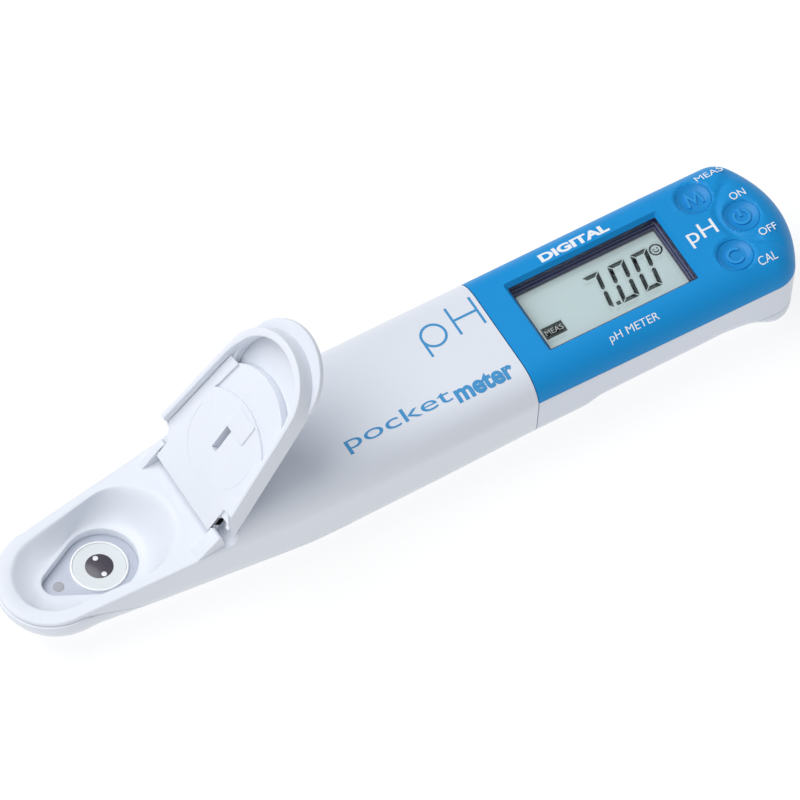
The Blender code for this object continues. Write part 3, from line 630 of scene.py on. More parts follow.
def ribbon(points, width, low, high, closed=False):
    """Raised line of one width along a path in plan."""
    bm = bmesh.new()
    sections = []
    count = len(points)
    for i, (x, y) in enumerate(points):
        before = points[i - 1] if closed or i else points[0]
        after = points[(i + 1) % count] if closed or i < count - 1 else points[-1]
        nx, ny, length = mitre(before, (x, y), after)
        both = 2.0 if closed or 0 < i < count - 1 else 1.0
        reach = width / 2 / max(length / both, 0.4)
        nx, ny = nx / length * reach, ny / length * reach
        corners = [(x + nx, y + ny, low), (x + nx, y + ny, high), (x - nx, y - ny, high), (x - nx, y - ny, low)]
        sections.append([bm.verts.new(p) for p in corners])
    if closed:
        sections.append(sections[0])
    else:
        bm.faces.new(sections[0])
        bm.faces.new(sections[-1])
    for a, b in zip(sections, sections[1:]):
        bridge(bm, a, b)
    return bm


def apply_modifiers(obj):
    graph = bpy.context.evaluated_depsgraph_get()
    mesh = bpy.data.meshes.new_from_object(obj.evaluated_get(graph))
    looks = list(obj.data.materials)
    obj.modifiers.clear()
    obj.data = mesh
    mesh.materials.clear()
    for look in looks:
        mesh.materials.append(look)


def boolean(target, cutter):
    bmesh.ops.triangulate(cutter, faces=cutter.faces[:])
    tool = plain_object("cutter", cutter)
    mod = target.modifiers.new("cut", "BOOLEAN")
    mod.operation = "DIFFERENCE"
    mod.solver = "MANIFOLD"
    mod.object = tool
    apply_modifiers(target)
    bpy.data.objects.remove(tool, do_unlink=True)


def add_shell(name, bm, wall, cutters, body, mat, replaces, angle=40.0):
    """Thin shell out of an outer surface, with the cutters taken out of it."""
    obj = plain_object(name, bm, mat)
    mod = obj.modifiers.new("thickness", "SOLIDIFY")
    mod.thickness = wall * MM
    mod.offset = -1.0
    apply_modifiers(obj)
    for cutter in cutters:
        boolean(obj, cutter)
    finish_piece(obj, body, replaces, angle)


# ---- sensor unit
def sensor_part(x):
    return along(SENSOR_PART, x)


def sensor_body():
    """Case of the sensor unit, with the sample well, the ramp behind the hinge and the tear-drop opening."""
    tail_x = UNDER_END_X + 0.15
    extra = [CAP_X, tail_x] + spread(-43.8, -34.0, 0.25)
    points = plan(TIP_X, CASE_HIGH[0], 1.0, extra=extra)
    bm = bmesh.new()
    rows = side_rows(points, sensor_part, lambda x: top_height(x, 0.0), 8)
    both_sides(bm, rows)
    nose = [p for p in points if p[0] <= CAP_X + 0.001]
    rest = [p for p in points if p[0] >= CAP_X - 0.001]
    tail = [p for p in points if p[0] >= tail_x - 0.001]
    right, left = both_sides(bm, [top_row(nose, d) for d in TOP_INSETS if d <= CAP_INSET])
    middle = both_sides(bm, [top_row(rest, d) for d in TOP_INSETS], strips=14)
    floor_sheet(bm, tail, sensor_part)
    rear_right = [top_row(rest[:1], d)[0] for d in TOP_INSETS if d > CAP_INSET]
    across = [tuple(line[0].co) for line in middle[1:-1]]
    loop = [tuple(v.co) for v in right[-1]] + rear_right + across
    loop += mirrored([reversed(rear_right)])[0]
    loop += [tuple(v.co) for v in reversed(left[-1][1:])]
    nose_cap(bm, loop)
    add_shell("sensor_body", bm, WALL, (), "sensor_unit", MATS["white"], ("sensor_case",))


def nose_cap(bm, loop):
    """Rim, bowl and tear-drop opening inside a loop of points at the nose's edge."""
    directions = []
    for x, y, _ in loop:
        length = math.hypot(x - BOWL_CENTRE_X, y)
        directions.append(((x - BOWL_CENTRE_X) / length, y / length))
    rings = [loop]
    for share in BOWL_SHARES:
        ring = []
        for x, y in egg_hits(BOWL_CENTRE_X, directions, *blended_egg(share)):
            rim = rim_z(x)
            near = ease(-y / 6.0)
            y *= 1.0 - 0.05 * near * min(share, 1.0)
            steep = share ** (1.8 + 2.0 * near)
            gentle = ease(share)
            rear = ease((x - BOWL_CENTRE_X - 1.0) / BOWL_BLEND)
            rise = steep + (gentle - steep) * rear
            bowl = WELL_FLOOR_Z + (rim - WELL_FLOOR_Z) * rise
            ring.append((x, y, softer_min(rim, bowl, 0.5 * (1 - rear) + 0.02)))
        rings.append(ring)
    for extra, z in ((0.35, WELL_FLOOR_Z), (0.12, WELL_FLOOR_Z - 0.06), (0.0, WELL_FLOOR_Z - 0.3),
                     (0.0, PLATE_HIGH[2] + 0.3), (0.0, PLATE_HIGH[2] - 0.4)):
        rings.append(at_height(egg_hits(BOWL_CENTRE_X, directions, *grown_egg(DROP, extra)), z))
    sheet_rows(bm, rings, closed=True)


def sensor_underside():
    """Cover under the sensor unit; its edge stands out as a small ledge round the tip."""
    points = plan(TIP_X, UNDER_END_X, 1.0, ledge=LEDGE)
    rows = lower_rows(points, lambda x: sensor_part(x) - UNDER_GAP)
    for inset, drop in ((0.05, 0.13), (0.15, 0.1), (0.9, 0.1)):
        sides = [side_inset(p[0], sensor_part(p[0]) - UNDER_GAP) for p in points]
        rows.append([(*inset_point(p, side + inset), sensor_part(p[0]) - drop) for p, side in zip(points, sides)])
    bm = bmesh.new()
    both_sides(bm, rows, strips=FLOOR_STRIPS, from_row=0)
    add_shell("sensor_underside", bm, UNDER_WALL, (), "sensor_unit", MATS["white"],
              ("sensor_bottom_cover",))


def hinge_ears():
    """Ears that grow out of the rim on both sides of the hinge."""
    base = rim_z(PIVOT_X) - 1.2
    left_x, right_x = PIVOT_X - 3.6, PIVOT_X - 4.6
    left = [(left_x, rim_z(left_x) + 0.05), (left_x, rim_z(left_x) - 0.8),
            (PIVOT_X + 1.9, base), (PIVOT_X + 1.9, PIVOT_Z + 1.2), (PIVOT_X + 1.2, PIVOT_Z + 1.75),
            (PIVOT_X + 0.2, PIVOT_Z + 1.25)]
    right = [(right_x, rim_z(right_x) - 0.03), (right_x, rim_z(right_x) - 0.8), (PIVOT_X + 1.6, base)]
    right += arc(PIVOT_X, PIVOT_Z, 0.72, 0, 110, 12)
    ears = merged(slab(left, EAR_INNER, EAR_OUTER, 0.15, 0.15, axis="y"),
                  slab(right, -NEAR_EAR_OUTER, -EAR_INNER, 0.15, 0.15, axis="y"))
    add_piece("hinge_ears", ears, "sensor_unit", MATS["white"])


PLATE_CENTRE_X = -61.5
MEMBRANE_RADIUS = 2.6
DISC_RADIUS = 4.9
# size and places of the two bright dots on the membrane
BRIGHT_DOT_RADIUS = 0.5
BRIGHT_DOTS = ((0.19, 1.78), (-0.07, -1.93))
JUNCTION_RADIUS = 1.05


def stepped(radius, *levels):
    """Profile for turned() out of (inset, height) pairs."""
    return [(radius - inset, z) for inset, z in levels]


def electrode_parts():
    """Insert in the well's floor: plate, ring, disc, membrane with two bright dots, and junction."""
    x0 = centre(*RING)[0]
    xj = centre(*JUNCTION)[0]
    top = PLATE_HIGH[2]
    ring_top = RING[1][2]
    disc_top = top + 0.3

    def insert(name, bm, look, replaces=(), angle=30.0):
        add_piece(name, bm, "sensor_unit", MATS[look], replaces, angle=angle)

    plate_rings = []
    directions = circle(0.0, 0.0, 1.0, 96)
    for extra, z in ((-0.04, top - 1.2), (-0.04, top - 0.06), (-0.06, top - 0.02), (-0.1, top)):
        plate_rings.append(at_height(egg_hits(PLATE_CENTRE_X, directions, *grown_egg(DROP, extra)), z))
    insert("sensor_plate_fine", rings_mesh(plate_rings), "plate", ("sensor_plate",))
    ring = [(4.95, top), (4.95, ring_top - 0.06), (5.0, ring_top), (5.25, ring_top), (5.32, ring_top - 0.08),
            (5.32, top)]
    insert("sensor_ring_fine", turned(ring, x0, 0.0, 96), "ring", ("sensor_ring",), 50.0)
    disc = stepped(DISC_RADIUS, (0.0, top), (0.0, disc_top - 0.05), (0.05, disc_top))
    insert("electrode_disc_fine", turned(disc, x0, 0.0, 96), "disc", ("electrode_disc",))
    glass = stepped(MEMBRANE_RADIUS, (0.0, top + 0.1), (0.0, disc_top + 0.03), (0.1, disc_top + 0.06))
    insert("glass_membrane_fine", turned(glass, x0, 0.0), "membrane", ("glass_membrane",))
    # two bright dots, each a small raised disc on the membrane
    contact = stepped(BRIGHT_DOT_RADIUS, (0.0, disc_top), (0.0, disc_top + 0.1), (0.1, disc_top + 0.12))
    dots = [turned(contact, x0 + dx, dy, 24) for dx, dy in BRIGHT_DOTS]
    insert("membrane_bright_dots", merged(*dots), "contact")
    plug = stepped(JUNCTION_RADIUS, (0.0, top - 0.3), (0.0, top + 0.05), (0.1, top + 0.1), (0.55, top + 0.14))
    insert("junction_fine", turned(plug, xj, 0.0, 32), "junction", ("liquid_junction",))


# ---- sensor cover
COVER_MATRIX = (Matrix.Translation((PIVOT_X * MM, 0.0, PIVOT_Z * MM))
                @ Matrix.Rotation(math.radians(OPEN_ANGLE - CLOSED_SLOPE), 4, "Y"))
COVER_LOW = -RIM_DROP + 0.1
COVER_WIDTHS = [(0.0, 13.4), (4.9, 13.05), (14.0, 12.1), (23.0, 11.2), (29.0, 10.5)]
COVER_START = 2.1
COVER_START_LEFT = 4.8
COVER_WALL_START = 6.6
COVER_ROUND_A = 27.4
COVER_TOP = 2.9
COVER_EDGE = 2.0
COVER_WALL = 1.1
COVER_END_WALL = 1.6
DECK_LOW = -0.05
DECK_HIGH = 1.7
PLATE_LOW = -0.6
TRACK_HALF = 9.8
WINDOW_RADIUS = 9.2
WINDOW_BACK_A = 17.0
WINDOW_BACK_RADIUS = 11.4
HOOK_SLOT = (-18.8, -10.7, -0.35, 1.05)
HOOK_HEAD = (-20.8, -16.2, -4.15, 1.15)
HOOK_STEM = (-18.6, -18.0, -0.2, 0.9)
CAP_START = 10.5
CAP_HALF = 9.5
CAP_RIBS = (27.5, 30.0, 32.5)
PLATE_MARK_A = 13.0
PLATE_MARK_RADIUS = 8.5
DECK_INSET = 0.8


def cover_stations():
    """(a, y, normal a, normal y) along the cover's +Y side and round its end, to the middle."""
    out = []
    for a in spread(7.4, 27.6, 1.2):
        slope = (eased(COVER_WIDTHS, a + 0.2) - eased(COVER_WIDTHS, a - 0.2)) / 0.4
        length = math.hypot(1.0, slope)
        out.append((a, eased(COVER_WIDTHS, a), -slope / length, 1.0 / length))
    for k in range(25):
        t = math.radians(84 - 84 * k / 24)
        c, s = math.cos(t), math.sin(t)
        out.append((COVER_ROUND_A + NOSE_RADIUS * c, NOSE_RADIUS * s, c, s))
    return out


def cover_section(track_inset, wall):
    """Closed section of the cover's wall as (inset, n)."""
    flat = COVER_TOP - COVER_EDGE
    section = [(0.3, COVER_LOW), (0.08, COVER_LOW + 0.08), (0.0, COVER_LOW + 0.3), (0.0, flat)]
    for k in range(1, 10):
        inset = min(COVER_EDGE * (1 - math.cos(math.pi / 2 * k / 9)), track_inset - 0.12)
        section.append((inset, flat + math.sqrt(COVER_EDGE ** 2 - (COVER_EDGE - inset) ** 2)))
    top = section[-1][1]
    section += [(track_inset - 0.03, top - 0.06), (track_inset, top - 0.2), (track_inset, DECK_HIGH - 0.4),
                (wall + 0.05, DECK_LOW + 0.3), (wall, DECK_LOW - 0.2), (wall, COVER_LOW + 0.3),
                (wall - 0.08, COVER_LOW + 0.08), (wall - 0.3, COVER_LOW)]
    return section


def cover_start(n, start):
    share = min(max((n - COVER_LOW) / (COVER_TOP - COVER_EDGE - COVER_LOW), 0.0), 1.0)
    return COVER_WALL_START + (start - COVER_WALL_START) * share


def cover_wall():
    stations = cover_stations()
    first = stations[0]
    starts = []
    for start_a in (COVER_START_LEFT, COVER_START):
        for j in range(4):
            ring = []
            for inset, n in cover_section(first[1] - TRACK_HALF, COVER_WALL):
                start = cover_start(n, start_a)
                a = start + (first[0] - start) * j / 4
                ring.append((-a, eased(COVER_WIDTHS, a) - inset, n))
            starts.append(ring)
    half = []
    for a, y, na, ny in stations:
        track = max(y - TRACK_HALF, 1.0) if a < COVER_ROUND_A else 1.0
        wall = COVER_WALL + (COVER_END_WALL - COVER_WALL) * ease((a - 26.5) / 4.0)
        half.append([(-(a - na * inset), y - ny * inset, n) for inset, n in cover_section(track, wall)])
    other = mirrored(reversed(starts[4:] + half[:-1]))
    return rings_mesh(starts[:4] + half + other)


def crescent():
    """The cover's window: inside one circle and outside another, in the cover's frame."""
    distance = COVER_ROUND_A - WINDOW_BACK_A
    along_a = (distance ** 2 + WINDOW_BACK_RADIUS ** 2 - WINDOW_RADIUS ** 2) / (2 * distance)
    across = math.sqrt(WINDOW_BACK_RADIUS ** 2 - along_a ** 2)
    outer = math.degrees(math.atan2(across, along_a - distance))
    inner = math.degrees(math.atan2(across, along_a))
    front = arc(COVER_ROUND_A, 0, WINDOW_RADIUS, outer, -outer, 48)
    back = arc(WINDOW_BACK_A, 0, WINDOW_BACK_RADIUS, -inner, inner, 32)
    return [(-a, y) for a, y in front + back[1:-1]]


def cover_deck_outline():
    left = [(-1.0, BARREL_HALF), (-3.2, BARREL_HALF), (-4.9, 11.0), (-5.0, 12.2)]
    right = [(-1.0, -BARREL_HALF), (-3.5, -BARREL_HALF), (-3.5, -11.5), (-2.8, -11.5), (-2.8, -12.4)]
    points = [(-(a - na * DECK_INSET), y - ny * DECK_INSET) for a, y, na, ny in cover_stations()]
    return left + points + [(x, -y) for x, y in reversed(points[:-1])] + list(reversed(right))


def guide_plate():
    """Plate inside the cover as wide as its walls, with one arm beside the window."""
    inset = COVER_WALL + 0.12
    front = [(-a, y) for a, y in arc(8.7, 0, 13.0, 50.0, -46.0, 40)]
    wall = [(-a, eased(COVER_WIDTHS, a) - inset) for a in (5.6, 9.0, 13.0, 17.2, 21.0, 25.4)]
    outline = [(0.4, BARREL_HALF), (-3.2, BARREL_HALF), (-6.4, wall[0][1])] + wall[1:]
    outline += [(-25.4, 7.3), (-22.4, 7.75), (-19.6, 8.1)] + front[4:]
    outline += [(x, -y) for x, y in reversed(wall[:4])] + [(-5.0, -BARREL_HALF), (0.4, -BARREL_HALF)]
    return slab(outline, PLATE_LOW, DECK_LOW - 0.05, 0.12, 0.0, holes=(rectangle(*HOOK_SLOT),))


def cover_pieces():
    deck = slab(cover_deck_outline(), DECK_LOW, DECK_HIGH, 0.1, 0.1, holes=(crescent(), rectangle(*HOOK_SLOT)))
    lip_outline = arc(-30.3, 0, 10.3, 95, 265, 48) + arc(-COVER_ROUND_A, 0, 9.75, 255, 105, 48)
    lip = slab(lip_outline, 0.9, 2.0, 0.25, 0.25)
    end_outline = [(-3.0, PLATE_LOW + 0.05)] + arc(-0.35, 0.6, 1.15, -90, 90, 24) + [(-3.0, 1.75)]
    panel_end = slab(end_outline, -BARREL_HALF, BARREL_HALF, 0.15, 0.15, axis="y")
    mark_path = arc(-PLATE_MARK_A, 0, PLATE_MARK_RADIUS, -100, 100, 60)
    mark = ribbon(mark_path, 0.4, PLATE_LOW - 0.06, PLATE_LOW + 0.05)
    shell = merged(cover_wall(), deck, lip, panel_end)
    low = DECK_HIGH + 0.15
    cap_outline = [(-CAP_START, CAP_HALF), *arc(-COVER_ROUND_A, 0, CAP_HALF, 90, 270, 40), (-CAP_START, -CAP_HALF)]
    cap = slab(cap_outline, low, COVER_TOP, 0.15, 0.5)
    head = slab(rounded_rectangle(*HOOK_HEAD, 0.3), PLATE_LOW - 0.3, PLATE_LOW - 0.03, 0.12, 0.0)
    stem = slab(rectangle(*HOOK_STEM), PLATE_LOW - 0.1, low + 0.2)
    ribs = [slab(rounded_rectangle(-a - 0.5, -a + 0.5, -4.5, 4.5, 0.45), COVER_TOP - 0.3, COVER_TOP + 0.35, 0.0,
                 0.25) for a in CAP_RIBS]
    for name, bm, body, replaces, angle in (
            ("cover_shell", shell, "cover", ("cover_frame",), 35.0),
            ("guide_plate_fine", guide_plate(), "cover", ("cover_guide_plate",), 30.0),
            ("guide_plate_ring", mark, "cover", (), 30.0),
            ("slide_cap_fine", merged(cap, head, stem, *ribs), "slide_cap", ("slide_cap",), 30.0)):
        add_piece(name, bm, body, MATS["white"], replaces, COVER_MATRIX, angle)


# ---- meter
KEY_RADIUS = 3.2
KEY_HOLE = 3.35
KEY_DISH = 0.5
WINDOW_STEPS = ((0.0, 14.0, 0.3), (0.0, 18.95, 0.3), (0.6, 19.8, 0.5), (0.85, 20.2, 0.6), (0.85, 22.0, 0.6))
TAB_SLOT = (20.0, 33.5, -7.1, 7.1)
GROOVE_HALF = 1.15
GROOVE_DEPTH = 0.42


def meter_part(x):
    return along(METER_PART, x)


GROOVE = [(76.9, 8.9), (74.8, 7.7), (72.93, 6.22), (71.5, 5.0), (70.47, 3.62), (69.8, 2.4), (69.55, 1.14),
          (69.5, -0.5), (69.81, -2.04), (70.3, -3.4), (71.04, -4.64), (72.0, -5.5), (73.13, -6.11), (75.0, -7.2),
          (76.96, -8.21)]


def path_distance(x, y, path):
    best = 1e9
    for (x0, y0), (x1, y1) in zip(path, path[1:]):
        dx, dy = x1 - x0, y1 - y0
        t = min(max(((x - x0) * dx + (y - y0) * dy) / (dx * dx + dy * dy), 0.0), 1.0)
        best = min(best, math.hypot(x - x0 - dx * t, y - y0 - dy * t))
    return best


def top_relief(x, y):
    """Dishes round the keys and the soft groove beside the power key."""
    sink = 0.0
    if x > 60.0:
        for name in KEY_BOXES:
            cx, cy = centre(*KEY_BOXES[name])
            reach = math.hypot(x - cx, y - cy)
            if reach < 5.0:
                sink = max(sink, KEY_DISH * (1 - ease((reach - KEY_RADIUS) / 0.6)))
                sink -= 0.07 * ease(1 - abs(reach - 4.0) / 0.55)
        near = path_distance(x, y, GROOVE)
        if near < GROOVE_HALF + 0.05:
            sink = max(sink, GROOVE_DEPTH * (1 - ease(near / GROOVE_HALF)))
    return sink


def meter_top():
    """Blue top of the meter with the display opening, the key holes and the relief round the keys."""
    points = plan(TOP_LOW[0], REAR_X, 0.4)
    rows = []
    for k in range(19):
        row = []
        for point in points:
            crown = roof_z(point[0]) - TOP_RADIUS
            start = math.asin(min(max((meter_part(point[0]) + 0.05 - crown) / TOP_RADIUS, 0.0), 1.0))
            turn = start + (math.pi / 2 - start) * k / 18
            px, py = inset_point(point, TOP_RADIUS * (1 - math.cos(turn)))
            row.append((px, py, roof_z(px) - TOP_RADIUS * (1 - math.sin(turn))))
        rows.append(row)
    bm = bmesh.new()
    both_sides(bm, rows, strips=42)
    bmesh.ops.remove_doubles(bm, verts=bm.verts[:], dist=MERGE_DISTANCE)
    for vert in bm.verts:
        vert.co.z -= top_relief(vert.co.x, vert.co.y)
    cutters = [turned([(KEY_HOLE, 15.0), (KEY_HOLE, 23.0)], *centre(*KEY_BOXES[name])) for name in KEY_BOXES]
    cutters.append(rings_mesh([at_height(display_rectangle(-grow, corner), z) for grow, z, corner in WINDOW_STEPS]))
    add_shell("meter_top", bm, WALL, cutters, "meter", MATS["blue"], ("upper_case",), 32.0)


def meter_base():
    """Grey-white lower part of the meter, from the battery door's line up to the part line."""
    door_line = DOOR_HIGH[2] + 0.15
    points = plan(TOP_LOW[0], REAR_X, 1.0, extra=[36.0])
    rows = side_rows(points, lambda x: door_line, lambda x: meter_part(x) - 0.05, 12)
    bm = bmesh.new()
    both_sides(bm, rows)
    floor_sheet(bm, [p for p in points if p[0] <= 36.001], lambda x: door_line)
    tab_slot = slab(rectangle(*TAB_SLOT), -5.0, 2.75)
    add_shell("meter_base", bm, WALL, (tab_slot,), "meter", MATS["shade"], ("lower_case",))


def battery_door():
    bm = bmesh.new()
    floor_sheet(bm, plan(DOOR_LOW[0], REAR_X, 0.8), lambda x: DOOR_HIGH[2])
    add_shell("battery_door", bm, DOOR_WALL, (), "battery_cover", MATS["shade"], ("battery_cover",))


def key_pieces():
    arcs = {"power": (125, 415), "cal": (40, 320)}
    for name in KEY_BOXES:
        cx, cy = centre(*KEY_BOXES[name])
        top = KEY_BOXES[name][1][2]
        profile = [(3.31, 17.4), (3.31, top - 0.12), (3.28, top - 0.03), (KEY_RADIUS, top)]
        profile += [(KEY_RADIUS - 0.33 * k, top - KEY_DISH * math.sin(math.pi / 2 * min(k / 4, 1.0)))
                    for k in range(1, 9)]
        add_piece("key_cap_" + name, turned(profile, cx, cy, 72), "key_" + name, MATS["key"],
                  ("key_" + name,), angle=40)
        if name == "meas":
            paths = [[(cx + x, cy + y) for x, y in ((-1.45, -1.35), (-1.0, 1.35), (0.0, -0.7), (1.0, 1.35),
                                                    (1.45, -1.35))]]
        else:
            paths = [arc(cx, cy, 1.45, *arcs[name], 36)]
        if name == "power":
            paths.append([(cx, cy + 0.1), (cx, cy + 1.75)])
        marks = [ribbon(path, 0.5, top - 0.6, top - 0.2) for path in paths]
        add_piece("key_mark_" + name, merged(*marks), "key_" + name, MATS["symbol"])


# ---- display
def segment_shapes(width, height, stroke, gap, lit):
    """Outlines of the lit segments of one figure, with mitred ends and pointed middles."""
    half = height / 2
    tip = stroke / 2
    top = [(gap, height), (width - gap, height), (width - stroke - gap, height - stroke),
           (stroke + gap, height - stroke)]
    right = [(width, height - gap), (width, half + tip + gap), (width - tip, half + gap),
             (width - stroke, half + tip + gap), (width - stroke, height - stroke - gap)]
    left = [(width - x, y) for x, y in right]
    shapes = {"a": top, "b": right, "f": left}
    shapes["d"] = [(x, height - y) for x, y in top]
    shapes["c"] = [(x, height - y) for x, y in right]
    shapes["e"] = [(x, height - y) for x, y in left]
    return [shapes[key] for key in lit]


def digit_marks():
    """Figures 7.00, the mode box and a round sign on the display."""
    z = LCD_HIGH[2]
    low, high = z + 0.01, z + 0.03
    slant = 0.165
    width, height = 3.5, 8.4
    parts = []
    for x0, y0, lit in ((40.85, -4.35, "abc"), (46.2, -4.35, "abcdef"), (51.05, -4.35, "abcdef")):
        for shape in segment_shapes(width, height, 0.84, 0.13, lit):
            outline = [(x0 + u + slant * v, y0 + v) for u, v in shape]
            parts.append(slab(oriented(outline), low, high))
    parts.append(slab(rectangle(45.03, 45.87, -4.23, -3.43), low, high))
    parts.append(ribbon(circle(57.25, 2.81, 1.12, 32), 0.34, low, high, closed=True))
    parts.append(ribbon(arc(57.25, 2.86, 0.55, 200, 340, 10), 0.22, low, high))
    parts += [slab(circle(x, 3.05, 0.17, 12), low, high) for x in (56.87, 57.63)]
    parts.append(slab(rectangle(30.15, 34.45, -4.3, -1.7), low, high))
    add_piece("display_figures", merged(*parts), "meter", MATS["ink"])
    words("display_mode", "MEAS", (32.3, -3.0), 1.15, 3.6, "lcd_pale", "lcd", height_at=lambda x, y: z + 0.05)


def display_rectangle(inset, corner=0.3):
    """Rectangle measured inwards from the display's opening."""
    inset -= 0.15
    return rounded_rectangle(WINDOW_LOW[0] + inset, WINDOW_HIGH[0] - inset, WINDOW_LOW[1] + inset,
                             WINDOW_HIGH[1] - inset, corner)


def display_frame(inset_out, inset_in, low, high):
    """Flat frame between two rectangles round the display."""
    return slab(display_rectangle(inset_out), low, high, holes=(display_rectangle(inset_in),))


def display_walls():
    """Dark frame round the display: stepped walls whose dark colour is also painted shade of the deep recess, with
    thin painted highlights on the tops of their steps.
    """
    glass = LCD_HIGH[2]
    roof = WINDOW_LOW[2]
    low = glass + 0.02
    # painted shade: these dark stepped frames line the display's deep recess and the cut in the blue top, where those
    # walls lie in shade
    walls = ((-0.9, 0.10, low, roof - 0.05), (-0.3, 0.12, roof - 0.06, roof + 0.93),
             (0.05, 0.45, low, roof - 0.45), (0.40, 0.85, low, roof - 1.0))
    # painted highlights: light bands on the top faces of the two inner steps
    lines = ((0.16, 0.36, roof - 0.46, roof - 0.42), (0.56, 0.74, roof - 1.01, roof - 0.97))
    for name, frames, look, replaces in (("display_walls", walls, "dark", ("lcd_frame",)),
                                         ("display_wall_highlights", lines, "edge_highlight", ()),
                                         ("display_seal", ((0.8, 1.0, low, glass + 0.07),), "seal_line", ())):
        add_piece(name, merged(*(display_frame(*sizes) for sizes in frames)), "meter", MATS[look],
                  replaces)


# ---- lettering
LETTER_LIFT = 0.03
LETTER_BAND = 0.4


def words(name, text, at, cap, width, look, slot, body="meter", bold=0.0, height_at=None):
    """Lettering laid on a surface: cap is its height, at is the middle, height_at gives the surface."""
    curve = bpy.data.curves.new(name, "FONT")
    curve.body = text
    curve.offset = bold
    curve.resolution_u = 6
    source = linked(bpy.data.objects.new(name + "_curve", curve))
    graph = bpy.context.evaluated_depsgraph_get()
    mesh = bpy.data.meshes.new_from_object(source.evaluated_get(graph))
    bpy.data.objects.remove(source, do_unlink=True)
    bm = bmesh.new()
    bm.from_mesh(mesh)
    bpy.data.meshes.remove(mesh)
    xs = [v.co.x for v in bm.verts]
    ys = [v.co.y for v in bm.verts]
    scale_x, scale_y = width / (max(xs) - min(xs)), cap / (max(ys) - min(ys))
    mid_x, mid_y = (max(xs) + min(xs)) / 2, (max(ys) + min(ys)) / 2
    for vert in bm.verts:
        vert.co = (at[0] + (vert.co.x - mid_x) * scale_x, at[1] + (vert.co.y - mid_y) * scale_y, 0.0)
    level = min(v.co.y for v in bm.verts) + LETTER_BAND
    high = max(v.co.y for v in bm.verts)
    while level < high:
        bmesh.ops.bisect_plane(bm, geom=bm.verts[:] + bm.edges[:] + bm.faces[:], plane_co=(0, level, 0),
                               plane_no=(0, 1, 0))
        level += LETTER_BAND
    place = height_at or (lambda x, y: surface_z(x, y) - top_relief(x, y))
    for vert in bm.verts:
        vert.co.z = place(vert.co.x, vert.co.y) + LETTER_LIFT
    add_piece(name, bm, body, MATS[look])


WHITE_LABELS = (
    ("label_ph_meter", "pH METER", (44.25, -11.5), 1.75, 10.3), ("label_digital", "DIGITAL", (43.9, 9.75), 2.1, 14.4),
    ("label_ph_top", "pH", (65.2, -0.35), 4.4, 6.0), ("label_on", "ON", (75.22, 4.01), 1.6, 3.1),
    ("label_off", "OFF", (76.11, -5.33), 1.6, 3.6), ("label_cal", "CAL", (72.94, -10.6), 1.6, 3.8),
    ("label_meas", "MEAS", (73.1, 10.7), 1.5, 5.6))
BLUE_LABELS = (("label_name_thin", "pocket", (-3.2, -7.8), 4.0, 22.0),
               ("label_name_bold", "meter", (14.4, -8.3), 3.6, 12.0))
BOLD = {"label_digital": 0.045, "label_name_bold": 0.04}


def lettering():
    for name, *rest in WHITE_LABELS:
        words(name, *rest, "print_white", "white_plastic", bold=BOLD.get(name, 0.0))
    for name, *rest in BLUE_LABELS:
        words(name, *rest, "print_blue", "blue_plastic", "sensor_unit", BOLD.get(name, 0.0))
    stroke, base = 0.5, roof_z(15.0) + 0.01
    high, higher = base + 0.016, base + 0.02
    parts = [ribbon(circle(11.6, 5.0, 2.35, 36), stroke, base, higher, closed=True),
             ribbon([(9.25, 5.2), (9.25, 1.0)], stroke, base, high)]
    for x in (16.2, 21.2):
        parts.append(ribbon([(x, 2.6), (x, 9.0)], stroke, base, high))
    parts.append(ribbon([(16.2, 5.9), (21.2, 5.9)], stroke, base, higher))
    add_piece("label_ph_large", merged(*parts), "sensor_unit", MATS["print_blue"])


sensor_body()
sensor_underside()
hinge_ears()
electrode_parts()
cover_pieces()
meter_top()
meter_base()
battery_door()
key_pieces()
display_walls()
digit_marks()
lettering()


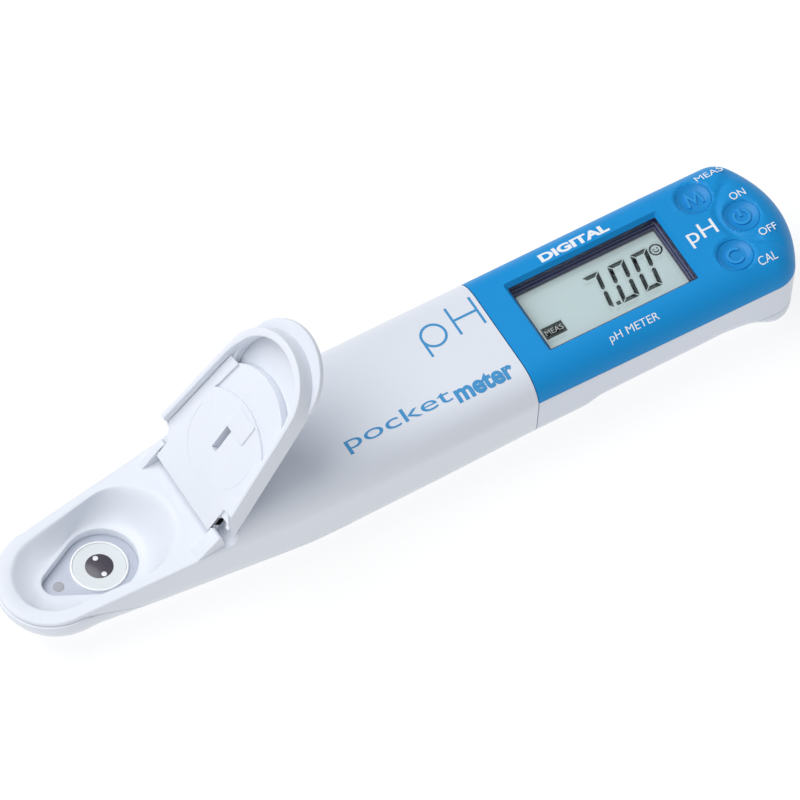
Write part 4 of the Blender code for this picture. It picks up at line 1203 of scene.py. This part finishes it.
# ---- floor, light and camera
FLOOR_HALF = 1200.0
FLOOR_GLOW = 0.80
CAMERA_AZIMUTH = math.radians(-30.19)
CAMERA_ELEVATION = math.radians(56.8)
CAMERA_DISTANCE = 2.5
CAMERA_FIELD = 0.14572
CAMERA_AIM = Vector((0.00448, 0.00484, 0.00421))
WORLD_COLOR = (0.92, 0.98, 1.05, 1.0)
WORLD_STRENGTH = 0.33


def floor():
    bm = bmesh.new()
    outline = rectangle(-FLOOR_HALF, FLOOR_HALF, -FLOOR_HALF, FLOOR_HALF)
    bm.faces.new([bm.verts.new((x, y, 0.0)) for x, y in outline])
    paper = moulded("floor_paper", (0.24, 0.24, 0.24), 0.9, grain=60.0, depth=0.0, tint=0.004, specular=0.02)
    set_inputs(paper.node_tree.nodes["Principled BSDF"], Emission_Color=(1.0, 1.0, 1.0, 1.0),
               Emission_Strength=FLOOR_GLOW)
    plain_object("floor", bm, paper)


def aimed(name, data, place, direction):
    """Lamp or camera that looks along a direction."""
    obj = linked(bpy.data.objects.new(name, data))
    obj.location = place
    obj.rotation_euler = direction.to_track_quat("-Z", "Y").to_euler()
    return obj


def area_light(name, place, size, power):
    """Round lamp that points at the origin."""
    data = bpy.data.lights.new(name, "AREA")
    data.shape = "DISK"
    data.size = size
    data.energy = power
    aimed(name, data, place, -Vector(place))


def camera():
    flat = math.cos(CAMERA_ELEVATION)
    toward = Vector((math.sin(CAMERA_AZIMUTH) * flat, -math.cos(CAMERA_AZIMUTH) * flat,
                     math.sin(CAMERA_ELEVATION)))
    data = bpy.data.cameras.new("camera")
    data.sensor_width = 36.0
    data.lens = 36.0 * CAMERA_DISTANCE / CAMERA_FIELD
    data.clip_end = 20.0
    bpy.context.scene.camera = aimed("camera", data, CAMERA_AIM + toward * CAMERA_DISTANCE, -toward)


def light():
    world = bpy.data.worlds.new("studio")
    bpy.context.scene.world = world
    world.use_nodes = True
    set_inputs(world.node_tree.nodes["Background"], Color=WORLD_COLOR, Strength=WORLD_STRENGTH)
    area_light("key_light", (-0.42, 0.42, 1.2), 1.35, 14.0)
    area_light("front_light", (-0.9, -0.5, 0.7), 0.7, 2.4)
    bpy.context.scene.view_settings.view_transform = "Standard"


floor()
camera()
light()
